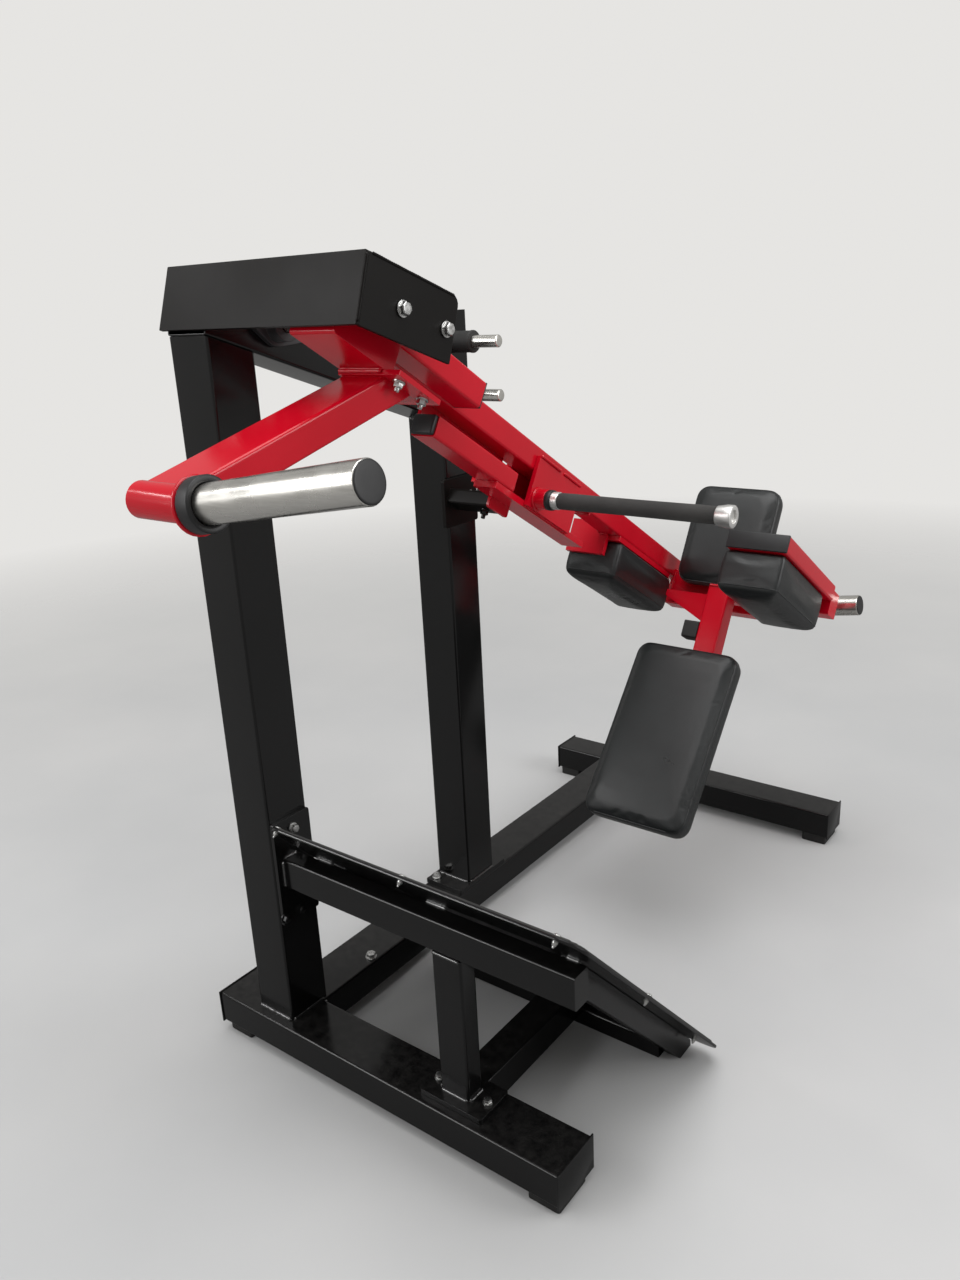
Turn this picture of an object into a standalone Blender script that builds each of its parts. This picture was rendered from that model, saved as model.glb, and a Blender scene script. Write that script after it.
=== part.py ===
"""Pendulum squat machine: a welded frame, an arm that swings on a side pivot, four pads and a foot plate."""

import math

import bmesh
import bpy
from mathutils import Matrix, Vector

# Lengths are in metres. X runs along the front beam, Y from front to back, Z up.
# Frame pieces are placed from the front beam's left front corner on the floor.

# Where the bounding box's bottom centre lies in those coordinates
CENTRE_X = 0.391
CENTRE_Y = 0.5555

# Fits and sheet thicknesses shared by the whole machine
GAP = 0.0003
TUBE_WALL = 0.003
TUBE_CORNER = 0.005
THIN_CORNER = 0.0015
VENT_RADIUS = 0.004
WELD_DEPTH = 0.002
END_PLATE = 0.004
ROUND_STEPS = 28
CORNER_STEPS = 3

# Base beams
FOOT_HEIGHT = 0.022
BEAM_HEIGHT = 0.064
FRONT_BEAM_LENGTH = 0.780
FRONT_BEAM_DEPTH = 0.100
REAR_BEAM_LEFT = -0.056
REAR_BEAM_RIGHT = 0.737
REAR_BEAM_FRONT = 1.304
REAR_BEAM_DEPTH = 0.089
SPINE_LEFT = 0.086
SPINE_WIDTH = 0.100
FOOT_LENGTH = 0.060
FOOT_INSET = 0.004
FOOT_DEPTH = 0.080

# Pivot axis: the housing, posts, stop, pegs, arm, horn and back pad are all placed from it
PIVOT_Y = 0.156
PIVOT_HEIGHT = 1.323

# Posts and the sloping beam that joins their tops
POST_SIDE = 0.090
POST_LEFT = 0.091
FRONT_POST_Y = 0.022
REAR_POST_Y = 0.564
REAR_POST_OVER = 0.005
REAR_POST_TOP = PIVOT_HEIGHT + REAR_POST_OVER
REAR_BASE_THICK = 0.010
REAR_BASE_FRONT = 0.526
REAR_BASE_BACK = 0.692
TOP_TILT = math.radians(19)
TOP_BEAM_HEIGHT = 0.090
TOP_BEAM_AHEAD = 0.034
TOP_BEAM_DROP = 0.043
TOP_BEAM_REF_Y = PIVOT_Y - TOP_BEAM_AHEAD
TOP_BEAM_REF_Z = PIVOT_HEIGHT - TOP_BEAM_DROP

# Pivot housing, measured along its slope (u) and square to it (n) from its top front edge
PIVOT_U = 0.132
PIVOT_N = -0.052
HOUSING_Y = PIVOT_Y - PIVOT_U * math.cos(TOP_TILT) - PIVOT_N * math.sin(TOP_TILT)
HOUSING_Z = PIVOT_HEIGHT + PIVOT_U * math.sin(TOP_TILT) - PIVOT_N * math.cos(TOP_TILT)
HOUSING_LEFT = 0.078
HOUSING_RIGHT = 0.493
HOUSING_HEIGHT = 0.097
HOUSING_SIDE = 0.201
HOUSING_TOP = 0.130
HOUSING_SHEET = 0.006
HOUSING_CORNER = 0.014

# Pivot shaft and its two flange bearings
SHAFT_RADIUS = 0.0125
SHAFT_INSET = 0.0007
FLANGE_BOLT_HALF = 0.0485
FLANGE_CORE_RADIUS = 0.034
FLANGE_EAR_RADIUS = 0.015
FLANGE_THICK = 0.012
BEARING_HUB_RADIUS = 0.027
BEARING_DEPTH = 0.034

# Band pegs on the rear post
PEG_BACK = 0.0405
PEG_Y = REAR_POST_Y + PEG_BACK
LOWER_PEG_DROP = 0.152
UPPER_PEG_DROP = 0.053
PEG_HEIGHTS = (PIVOT_HEIGHT - LOWER_PEG_DROP, PIVOT_HEIGHT - UPPER_PEG_DROP)
PEG_RADIUS = 0.0115
PEG_END = 0.294
SLEEVE_RADIUS = 0.020
SLEEVE_END = 0.235
EDGE_CHAMFER = 0.0015

# Stop for the arm
STOP_PLATE_THICK = 0.008
STOP_PLATE_FRONT = 0.546
STOP_PLATE_BACK = 0.650
STOP_PLATE_DROP = 0.407
STOP_PLATE_HEIGHT = 0.096
STOP_PLATE_BOTTOM = PIVOT_HEIGHT - STOP_PLATE_DROP
STOP_PLATE_TOP = STOP_PLATE_BOTTOM + STOP_PLATE_HEIGHT
STOP_ARM_S = 0.545
STOP_ARM_WIDTH = 0.050
STOP_ARM_HEIGHT = 0.030
STOP_ARM_END = 0.296
BUMPER_LEFT = 0.248
BUMPER_WIDTH = 0.044
BUMPER_LENGTH = 0.040
BUMPER_THICK = 0.012

# Foot platform, its tube, leg and struts
CLAMP_THICK = 0.0077
CLAMP_FRONT = 0.024
CLAMP_BACK = 0.110
CLAMP_BOTTOM = 0.292
CLAMP_TOP = 0.496
PLATFORM_TUBE_FRONT = 0.037
PLATFORM_TUBE_DEPTH = 0.038
PLATFORM_TUBE_BOTTOM = 0.366
PLATFORM_TUBE_HEIGHT = 0.058
PLATFORM_TUBE_END = 0.795
LEG_LEFT = 0.525
LEG_WIDTH = 0.060
LEG_BASE_LEFT = 0.495
LEG_BASE_WIDTH = 0.130
LEG_BASE_FRONT = 0.016
LEG_BASE_DEPTH = 0.078
LEG_BASE_THICK = 0.010
STRUT_LEFT = 0.515
STRUT_WIDTH = 0.060
CROSS_DEPTH = 0.040
CROSS_BOTTOM = 0.008
CROSS_HEIGHT = 0.038
RAIL_WIDTH = 0.029
RAIL_INSET = 0.062
RAIL_DEPTH = 0.040
FOOT_PLATE_SLOPE = math.radians(46.6)
FOOT_PLATE_BACK = 0.4663
FOOT_PLATE_TOE = 0.0234
FOOT_PLATE_LEFT = 0.215
FOOT_PLATE_WIDTH = 0.623
FOOT_PLATE_LENGTH = 0.697
FOOT_PLATE_Y = FOOT_PLATE_BACK - FOOT_PLATE_LENGTH * math.cos(FOOT_PLATE_SLOPE)
FOOT_PLATE_Z = FOOT_PLATE_TOE + FOOT_PLATE_LENGTH * math.sin(FOOT_PLATE_SLOPE)
FOOT_PLATE_THICK = 0.005
FOOT_PLATE_CORNER = 0.040
RAIL_SHORT = 0.002
RAIL_END = FOOT_PLATE_BACK - RAIL_SHORT
STRUT_SHORT = 0.077
STRUT_END = FOOT_PLATE_BACK - STRUT_SHORT
TREAD_THICK = 0.003
TREAD_INSET = 0.010

# Fasteners
WASHER_RADIUS = 0.0120
WASHER_THICK = 0.0025
HEX_RADIUS = 0.0100
HEX_HEIGHT = 0.0080
HEX_CHAMFER = 0.0015
HEX_STEPS = 18

# Pendulum arm: s runs down the arm from its datum, n square to it
ARM_TILT = math.radians(30.9)
ARM_DATUM_BACK = 0.002
ARM_DATUM_RISE = 0.003
ARM_DATUM_Y = PIVOT_Y + ARM_DATUM_BACK
ARM_DATUM_Z = PIVOT_HEIGHT + ARM_DATUM_RISE
ARM_LEFT = 0.335
ARM_WIDTH = 0.050
ARM_BOTTOM = -0.032
ARM_TOP = 0.014
ARM_END = 1.262
HUB_LEFT = 0.352
HUB_RIGHT = 0.440
HUB_FRONT = -0.105
HUB_BACK = 0.024
HUB_BOTTOM = -0.077
SIDE_BOX_END = 0.234
SIDE_BOX_BOTTOM = -0.031
HUB_FLANGE_THICK = 0.008
HUB_FLANGE_FRONT = 0.004
HUB_FLANGE_BACK = 0.105
HUB_FLANGE_RIGHT = 0.472
BRACE_BOTTOM = -0.093
BRACE_TOP = -0.055
BRACE_FRONT = 0.210
BRACE_BACK = 0.460
GUSSET_THICK = 0.008
GUSSET_FRONT = 0.500
GUSSET_BACK = 0.664
GUSSET_TOP = -0.004
GUSSET_BOTTOM = -0.1010
KEEL_THICK = 0.012
KEEL_FRONT = 0.404
KEEL_BACK = 0.7395
LUG_LEFT = 0.244
LUG_FRONT = 0.508
LUG_BACK = 0.582
LUG_UNDER = -0.062
LUG_THICK = 0.010
LIP_FRONT = 0.454
LIP_BACK = 0.519
LIP_DEEP = 0.020

# Counterbalance arm: its own slope, and its horn
COUNTER_TILT = math.radians(14.9)
COUNTER_HEIGHT = 0.046
COUNTER_DROP = 0.090
BARREL_RADIUS = 0.024
BARREL_AHEAD = 0.401
BARREL_DROP = 0.193
BARREL_Y = PIVOT_Y - BARREL_AHEAD
BARREL_Z = PIVOT_HEIGHT - BARREL_DROP
BARREL_RIGHT = 0.458
HORN_RADIUS = 0.025
HORN_TILT = math.radians(9.4)
HORN_LENGTH = 0.290
DISC_START = 0.001
DISC_THICK = 0.006
DISC_RADIUS = 0.037
COLLAR_LENGTH = 0.022
COPE_DEPTH = 0.014
COLLAR_RADIUS = 0.035

# Handle across the user's front
HANDLE_S = 0.5284
HANDLE_N = -0.0792
BOSS_RADIUS = 0.019
BOSS_END = 0.418
HANDLE_RING_RADIUS = 0.017
HANDLE_RING_END = 0.424
HANDLE_COLLAR_RADIUS = 0.0165
HANDLE_COLLAR_END = 0.443
GRIP_RADIUS = 0.01525
GRIP_END = 0.752
HANDLE_BAR_RADIUS = 0.011
HANDLE_CAP_RADIUS = 0.0195
HANDLE_CAP_END = 0.782
CAP_FLARE_START = 0.10
CAP_FLARE_END = 0.60

# Side member and cross members at the arm's lower end
SIDE_MEMBER_LEFT = 0.640
SIDE_MEMBER_WIDTH = 0.125
SIDE_MEMBER_TOP = -0.004
SIDE_MEMBER_HEIGHT = 0.036
SIDE_MEMBER_FRONT = 0.846
SIDE_MEMBER_BACK = 1.200
CROSS_TUBE_FRONT = 1.1755
CROSS_TUBE_LENGTH = 0.050
CROSS_TUBE_BOTTOM = -0.070
CROSS_TUBE_HEIGHT = 0.056
SPINE_TUBE_LEFT = 0.499
SPINE_TUBE_WIDTH = 0.052
SPINE_TUBE_FRONT = 1.125
SPINE_TUBE_DEPTH = 0.050
SPINE_TUBE_TOP = -0.0502
SPINE_TUBE_BOTTOM = -0.345
WEB_LEFT = 0.390
WEB_THICK = 0.008
WEB_FRONT = 1.146
WEB_SHORT = 0.085
WEB_LONG = 0.138
BLOCK_LEFT = 0.463
BLOCK_TOP = -0.1395
BLOCK_HEIGHT = 0.040
BLOCK_DEPTH = 0.040
CARRIER_HEIGHT = 0.068
CARRIER_LENGTH = 0.050
CARRIER_RIGHT = 0.560
CARRIER_TOP = -0.009
REAR_PEG_LENGTH = 0.240
REAR_PEG_RADIUS = 0.0225
REAR_PEG_N = -0.052

# Pads
SHOULDER_WIDTH = 0.127
SHOULDER_THICK = 0.090
SHOULDER_LENGTH = 0.280
LEFT_SHOULDER_S = 0.884
LEFT_SHOULDER_X = 0.3255
RIGHT_SHOULDER_S = 0.853
RIGHT_SHOULDER_X = 0.697
PAD_BRACKET_LEFT = 0.264
PAD_BRACKET_RIGHT = 0.357
PAD_BRACKET_GAP = 0.0025
PAD_BRACKET_BACK = LEFT_SHOULDER_S - PAD_BRACKET_GAP
PAD_BRACKET_THICK = 0.012
PAD_BRACKET_BOTTOM = -0.079
PAD_BRACKET_TOP = -0.005
HEAD_X = 0.511
HEAD_WIDTH = 0.202
HEAD_LENGTH = 0.237
HEAD_BOTTOM = -0.049
HEAD_FACE = 1.120
HEAD_THICK = 0.045
BACK_WIDTH = 0.240
BACK_LENGTH = 0.413
BACK_THICK = 0.055
BACK_BEHIND = 0.674
BACK_DROP = 0.8795
BACK_Y = PIVOT_Y + BACK_BEHIND
BACK_Z = PIVOT_HEIGHT - BACK_DROP
BACK_SLOPE = math.radians(49)
BOARD_THICK = 0.006
BOARD_INSET = 0.012
BACK_BRACKET_TOP = -0.255
PAD_CORNER = 0.030
SHOULDER_CORNER = 0.010
SHOULDER_CROWN = 0.006
HEAD_CROWN = 0.008
BACK_CROWN = 0.010
PAD_PLATE_THICK = 0.011
CUSHION_CORNER_STEPS = 5
CUSHION_LEAST_CORNER = 0.004
CUSHION_CROWN_POWER = 2.6
# Each layer up a cushion's side: inset from the widest outline, height as a share of the side
CUSHION_LAYERS = (
    (0.0040, 0.0),
    (0.0012, 0.08),
    (0.0, 0.30),
    (0.0, 0.66),
    (0.0012, 0.84),
    (0.0038, 0.925),
    (0.0085, 0.970),
)
# Rings of the crowned face, as shares of the way from its middle to its rim
CUSHION_RINGS = (0.90, 0.76, 0.56, 0.32)

# Materials: name, colour, metallic, roughness
COATS = (
    ("black_paint", (0.012, 0.012, 0.013), 0.0, 0.28),
    ("satin_paint", (0.06, 0.06, 0.055), 0.0, 0.45),
    ("red_paint", (0.55, 0.01, 0.03), 0.0, 0.22),
    ("chrome", (0.75, 0.75, 0.76), 1.0, 0.12),
    ("rubber", (0.015, 0.015, 0.015), 0.0, 0.7),
    ("foam", (0.08, 0.08, 0.078), 0.0, 0.9),
    ("vinyl", (0.02, 0.022, 0.024), 0.0, 0.42),
    ("cast_iron", (0.05, 0.05, 0.05), 0.6, 0.5),
    ("board", (0.02, 0.02, 0.02), 0.0, 0.7),
    ("tread", (0.02, 0.02, 0.02), 0.0, 0.6),
)


def material(name, colour, metallic, roughness):
    made = bpy.data.materials.new(name)
    made.use_nodes = True
    shader = made.node_tree.nodes["Principled BSDF"]
    shader.inputs["Base Color"].default_value = (*colour, 1)
    shader.inputs["Metallic"].default_value = metallic
    shader.inputs["Roughness"].default_value = roughness
    made.diffuse_color = (*colour, 1)
    return made


def empty(name, parent=None, location=(0, 0, 0), tilt=0.0, axis="X"):
    made = bpy.data.objects.new(name, None)
    bpy.context.scene.collection.objects.link(made)
    made.parent = parent
    made.location = location
    made.rotation_euler["XYZ".index(axis)] = tilt
    return made


def add(name, bm, coat, parent, location=(0, 0, 0), smooth=False):
    """Makes an object from a bmesh, with its faces turned outward."""
    bmesh.ops.recalc_face_normals(bm, faces=bm.faces)
    mesh = bpy.data.meshes.new(name)
    bm.to_mesh(mesh)
    bm.free()
    made = bpy.data.objects.new(name, mesh)
    bpy.context.scene.collection.objects.link(made)
    made.parent = parent
    made.location = location
    # Each piece has a paint of its own, so that it can be changed alone.
    own = coat.copy()
    own.name = name + "_" + coat.name
    mesh.materials.append(own)
    if smooth:
        mesh.shade_smooth()
        mesh.set_sharp_from_angle(angle=math.radians(35))
    return made


def axes(axis, u, v, w):
    """A point given across (u, v) and along (w) a piece that runs along the named axis."""
    if axis == "X":
        return Vector((w, u, v))
    if axis == "Y":
        return Vector((u, w, v))
    return Vector((u, v, w))


def rounded(u_range, v_range, radius, steps=CORNER_STEPS):
    """Points of a rectangle with rounded corners, in order."""
    (u0, u1), (v0, v1) = u_range, v_range
    if radius <= 0:
        return [(u0, v0), (u1, v0), (u1, v1), (u0, v1)]
    centres = [
        (u1 - radius, v1 - radius, 0),
        (u0 + radius, v1 - radius, 90),
        (u0 + radius, v0 + radius, 180),
        (u1 - radius, v0 + radius, 270),
    ]
    points = []
    for cu, cv, start in centres:
        for step in range(steps + 1):
            turn = math.radians(start + 90 * step / steps)
            points.append((cu + radius * math.cos(turn), cv + radius * math.sin(turn)))
    return points


def at(end, u, v):
    return end(u, v) if callable(end) else end


def ring_of(bm, axis, outline, end):
    return [bm.verts.new(axes(axis, u, v, at(end, u, v))) for u, v in outline]


def bridge(bm, one, two):
    count = len(one)
    for i in range(count):
        j = (i + 1) % count
        bm.faces.new((one[i], one[j], two[j], two[i]))


def prism(bm, axis, outline, start, end):
    """A solid with this outline between two ends, each a number or a slope."""
    first = ring_of(bm, axis, outline, start)
    last = ring_of(bm, axis, outline, end)
    bridge(bm, first, last)
    bm.faces.new(first)
    bm.faces.new(last)


def moved(end, distance):
    return lambda u, v: at(end, u, v) + distance


def hollow(bm, axis, u_range, v_range, start, end, closed="", wall=TUBE_WALL, corner=TUBE_CORNER):
    """A rectangular tube. Closed ends ('start', 'end' or 'both') have a wall, one of them with a vent."""
    inner_corner = max(corner - wall, THIN_CORNER)
    inner_u = (u_range[0] + wall, u_range[1] - wall)
    inner_v = (v_range[0] + wall, v_range[1] - wall)
    outer = rounded(u_range, v_range, corner)
    inner = rounded(inner_u, inner_v, inner_corner)
    out_a = ring_of(bm, axis, outer, start)
    out_b = ring_of(bm, axis, outer, end)
    in_a = ring_of(bm, axis, inner, moved(start, wall) if closed in ("start", "both") else start)
    in_b = ring_of(bm, axis, inner, moved(end, -wall) if closed in ("end", "both") else end)
    bridge(bm, out_a, out_b)
    bridge(bm, in_b, in_a)
    if closed == "both":
        middle = [(u_range[0] + u_range[1]) / 2, (v_range[0] + v_range[1]) / 2]
        reach = (-VENT_RADIUS, VENT_RADIUS)
        vent = rounded([middle[0] + r for r in reach], [middle[1] + r for r in reach], VENT_RADIUS * 0.99)
        vent_a = ring_of(bm, axis, vent, start)
        vent_b = ring_of(bm, axis, vent, moved(start, wall))
        bridge(bm, out_a, vent_a)
        bridge(bm, vent_a, vent_b)
        bridge(bm, vent_b, in_a)
    for name, outside, inside in (("start", out_a, in_a), ("end", out_b, in_b)):
        if closed == name or (closed == "both" and name == "end"):
            bm.faces.new(outside)
            bm.faces.new(inside)
        elif closed != "both":
            bridge(bm, outside, inside)


def tube(name, axis, u_range, v_range, start, end, coat, parent, closed=""):
    """A rectangular tube as an object, with its origin at the middle of its first end."""
    bm = bmesh.new()
    hollow(bm, axis, u_range, v_range, start, end, closed)
    return centred(name, bm, coat, parent)


def box(name, xs, ys, zs, coat, parent, axis="Z", corner=THIN_CORNER):
    """A solid block or plate, with the corners round its axis rounded."""
    bm = bmesh.new()
    block(bm, xs, ys, zs, axis, corner)
    return centred(name, bm, coat, parent)


def block(bm, xs, ys, zs, axis="Z", corner=THIN_CORNER):
    across = {"X": (ys, zs, xs), "Y": (xs, zs, ys), "Z": (xs, ys, zs)}[axis]
    prism(bm, axis, rounded(across[0], across[1], corner), *across[2])


def weld(piece, bm, kind="UNION"):
    """Joins a closed shape to a piece that has the same parent, or cuts it away, with a Boolean."""
    count = len(piece.modifiers)
    helper = centred(piece.name + "_tool_" + str(count), bm, piece.data.materials[0], piece.parent)
    helper.hide_render = True
    helper.display_type = "WIRE"
    modifier = piece.modifiers.new(kind.lower() + "_" + str(count), "BOOLEAN")
    modifier.operation = kind
    modifier.solver = "EXACT"
    modifier.object = helper


def vent(piece, axis, centre, length):
    """Opens a tube's hollow through the plate that closes it."""
    bm = bmesh.new()
    lathe(bm, axis, centre, rod_profile(VENT_RADIUS, length), steps=CORNER_STEPS * 4)
    bmesh.ops.recalc_face_normals(bm, faces=bm.faces)
    weld(piece, bm, "DIFFERENCE")


def centred(name, bm, coat, parent, smooth=False):
    """Puts a piece's origin in the middle of its bounds."""
    low = Vector([min(v.co[i] for v in bm.verts) for i in range(3)])
    high = Vector([max(v.co[i] for v in bm.verts) for i in range(3)])
    middle = (low + high) / 2
    bmesh.ops.translate(bm, verts=bm.verts, vec=-middle)
    return add(name, bm, coat, parent, middle, smooth)


def lathe(bm, axis, centre, profile, steps=ROUND_STEPS, loop=False):
    """Turns (radius, along) pairs round an axis. A radius may be a function of the turn."""
    rings = []
    for radius, along in profile:
        if not callable(radius) and radius == 0:
            rings.append([bm.verts.new(axes(axis, centre[0], centre[1], centre[2] + along))])
            continue
        ring = []
        for step in range(steps):
            turn = 2 * math.pi * step / steps
            reach = radius(turn) if callable(radius) else radius
            u = centre[0] + reach * math.cos(turn)
            v = centre[1] + reach * math.sin(turn)
            ring.append(bm.verts.new(axes(axis, u, v, centre[2] + along)))
        rings.append(ring)
    pairs = list(zip(rings, rings[1:]))
    if loop:
        pairs.append((rings[-1], rings[0]))
    for one, two in pairs:
        if len(one) == 1:
            fan(bm, one[0], two)
        elif len(two) == 1:
            fan(bm, two[0], one)
        else:
            bridge(bm, one, two)


def slope_matrix(location, tilt):
    """The place of a slope that is turned about X at this location."""
    return Matrix.Translation(location) @ Matrix.Rotation(tilt, 4, "X")


def place_new(bm, known, matrix):
    """Moves the points that aren't in known, so that one group can hold pieces of several slopes."""
    bmesh.ops.transform(bm, matrix=matrix, verts=[v for v in bm.verts if v not in known])


def fan(bm, tip, ring):
    for i, vertex in enumerate(ring):
        bm.faces.new((tip, vertex, ring[(i + 1) % len(ring)]))


def rod(name, axis, centre, radius, length, coat, parent, chamfer=EDGE_CHAMFER):
    """A solid round bar with broken edges, with its origin at its first end."""
    bm = bmesh.new()
    lathe(bm, axis, (0, 0, 0), rod_profile(radius, length, chamfer))
    return add(name, bm, coat, parent, axes(axis, *centre), smooth=True)


def rod_profile(radius, length, chamfer=EDGE_CHAMFER):
    return [
        (0, 0),
        (radius - chamfer, 0),
        (radius, chamfer),
        (radius, length - chamfer),
        (radius - chamfer, length),
        (0, length),
    ]


def sleeve_profile(bore, radius, length, chamfer=EDGE_CHAMFER):
    return [
        (bore, 0),
        (radius - chamfer, 0),
        (radius, chamfer),
        (radius, length - chamfer),
        (radius - chamfer, length),
        (bore, length),
    ]


def sleeve(name, axis, centre, bore, radius, length, coat, parent, chamfer=EDGE_CHAMFER):
    """A round sleeve, open at both ends."""
    bm = bmesh.new()
    lathe(bm, axis, (0, 0, 0), sleeve_profile(bore, radius, length, chamfer), loop=True)
    return add(name, bm, coat, parent, axes(axis, *centre), smooth=True)


def hexagon(across_corners):
    """The reach of a hexagon in each direction."""
    flat = across_corners * math.cos(math.radians(30))
    sixth = math.radians(60)
    return lambda turn: flat / math.cos(turn % sixth - sixth / 2)


def bolt(bm, axis, centre, way=1):
    """A hexagon head on a washer, standing along the axis from centre."""
    top = WASHER_THICK + HEX_HEIGHT
    profile = [
        (0, 0),
        (WASHER_RADIUS, 0),
        (WASHER_RADIUS, way * WASHER_THICK),
        (hexagon(HEX_RADIUS), way * WASHER_THICK),
        (hexagon(HEX_RADIUS), way * (top - HEX_CHAMFER)),
        (HEX_RADIUS * math.cos(math.radians(30)) - HEX_CHAMFER / 2, way * top),
        (0, way * top),
    ]
    lathe(bm, axis, centre, profile, HEX_STEPS)


def flange_reach(turn):
    """The reach of a two-bolt flange: the hull of a round core and two round ears."""
    best = 0.0
    for sign in (-1, 1):
        tilt = math.acos((FLANGE_CORE_RADIUS - FLANGE_EAR_RADIUS) / FLANGE_BOLT_HALF)
        for side in (-1, 1):
            normal = side * tilt + (0 if sign > 0 else math.pi)
            facing = math.cos(turn - normal)
            if facing > 0:
                reach = FLANGE_CORE_RADIUS / facing
                foot_a = FLANGE_CORE_RADIUS * math.sin(turn - normal) / facing
                span = math.sqrt(FLANGE_BOLT_HALF**2 - (FLANGE_CORE_RADIUS - FLANGE_EAR_RADIUS) ** 2)
                along = -side * foot_a
                if 0 <= along <= span:
                    best = max(best, reach)
        across = FLANGE_BOLT_HALF * math.sin(turn) * sign
        forward = FLANGE_BOLT_HALF * math.cos(turn) * sign
        if abs(across) <= FLANGE_EAR_RADIUS and forward > 0:
            best = max(best, forward + math.sqrt(FLANGE_EAR_RADIUS**2 - across**2))
    return max(best, FLANGE_CORE_RADIUS)


def bearing(bm, start, way):
    """A two-bolt flange bearing on the pivot axis, with its flange at start."""
    bore = SHAFT_RADIUS + GAP
    profile = [
        (bore, 0),
        (flange_reach, 0),
        (flange_reach, way * FLANGE_THICK),
        (BEARING_HUB_RADIUS, way * FLANGE_THICK),
        (BEARING_HUB_RADIUS, way * BEARING_DEPTH),
        (bore, way * BEARING_DEPTH),
    ]
    lathe(bm, "X", (PIVOT_U, PIVOT_N, start), profile, steps=32, loop=True)


def cushion(name, size, corner, crown, coat, parent, location, turn):
    """A stuffed pad on its board side at z = 0: sides drawn in below, a crowned face above."""
    width, length, thick = size
    bm = bmesh.new()
    rings = []
    for inset, share in CUSHION_LAYERS:
        outline = rounded(
            (-width / 2 + inset, width / 2 - inset),
            (-length / 2 + inset, length / 2 - inset),
            max(corner - inset, CUSHION_LEAST_CORNER),
            CUSHION_CORNER_STEPS,
        )
        rings.append([bm.verts.new((u, v, share * (thick - crown))) for u, v in outline])
    rim = [Vector(v.co) for v in rings[-1]]
    for share in CUSHION_RINGS:
        ring = []
        for point in rim:
            height = rim[0].z + (thick - rim[0].z) * math.sqrt(1 - share**CUSHION_CROWN_POWER)
            ring.append(bm.verts.new((point.x * share, point.y * share, height)))
        rings.append(ring)
    for one, two in zip(rings, rings[1:]):
        bridge(bm, one, two)
    fan(bm, bm.verts.new((0, 0, thick)), rings[-1])
    fan(bm, bm.verts.new((0, 0, 0)), rings[0])
    made = add(name, bm, coat, parent, location)
    made.rotation_euler = turn
    made.data.shade_smooth()
    return made


def build_base(root, paint, rubber):
    beam_zs = (FOOT_HEIGHT, FOOT_HEIGHT + BEAM_HEIGHT)
    spans = {
        "front": (0, FRONT_BEAM_LENGTH, 0, FRONT_BEAM_DEPTH),
        "rear": (REAR_BEAM_LEFT, REAR_BEAM_RIGHT, REAR_BEAM_FRONT, REAR_BEAM_DEPTH),
    }
    for side, (left, right, front, depth) in spans.items():
        tube(side + "_beam", "X", (front, front + depth), beam_zs, left, right, paint, root, closed="both")
        middle = front + depth / 2
        foot_ys = (middle - FOOT_DEPTH / 2, middle + FOOT_DEPTH / 2)
        foot_zs = (0, FOOT_HEIGHT - GAP)
        starts = {"left": left + FOOT_INSET, "right": right - FOOT_INSET - FOOT_LENGTH}
        for end, start in starts.items():
            foot_xs = (start, start + FOOT_LENGTH)
            box(side + "_" + end + "_foot", foot_xs, foot_ys, foot_zs, rubber, root, corner=TUBE_CORNER)
    spine_ys = (FRONT_BEAM_DEPTH + GAP, REAR_BEAM_FRONT - GAP)
    tube("spine", "Y", (SPINE_LEFT, SPINE_LEFT + SPINE_WIDTH), beam_zs, *spine_ys, paint, root)


def build_posts(root, paint):
    top = FOOT_HEIGHT + BEAM_HEIGHT + GAP
    xs = (POST_LEFT, POST_LEFT + POST_SIDE)
    slope = math.tan(TOP_TILT)

    def under_beam(u, v):
        return TOP_BEAM_REF_Z - (v - TOP_BEAM_REF_Y) * slope - GAP

    tube("front_post", "Z", xs, (FRONT_POST_Y, FRONT_POST_Y + POST_SIDE), top, under_beam, paint, root)
    rear_ys = (REAR_POST_Y, REAR_POST_Y + POST_SIDE)
    base_top = top + REAR_BASE_THICK
    start = base_top - WELD_DEPTH
    post = tube("rear_post", "Z", xs, rear_ys, start, REAR_POST_TOP, paint, root, closed="end")
    base = bmesh.new()
    spine_xs = (SPINE_LEFT, SPINE_LEFT + SPINE_WIDTH)
    block(base, spine_xs, (REAR_BASE_FRONT, REAR_BASE_BACK), (top, base_top))
    weld(post, base)
    middle = (POST_LEFT + POST_SIDE / 2, REAR_POST_Y + POST_SIDE / 2)
    vent(post, "Z", (*middle, top - REAR_BASE_THICK), 3 * REAR_BASE_THICK)


def build_top_beam(housing, paint):
    """The sloping beam, in the housing's own slope: its rear end is cut plumb against the rear post."""
    drop = (TOP_BEAM_REF_Y - HOUSING_Y) * math.sin(TOP_TILT)
    bottom = drop + (TOP_BEAM_REF_Z - HOUSING_Z) * math.cos(TOP_TILT)
    reach = (REAR_POST_Y - GAP - HOUSING_Y) / math.cos(TOP_TILT)

    def plumb(u, v):
        return reach - v * math.tan(TOP_TILT)

    xs = (POST_LEFT, POST_LEFT + POST_SIDE)
    ns = (bottom, bottom + TOP_BEAM_HEIGHT)
    tube("top_beam", "Y", xs, ns, HOUSING_SHEET + GAP, plumb, paint, housing)


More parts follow.
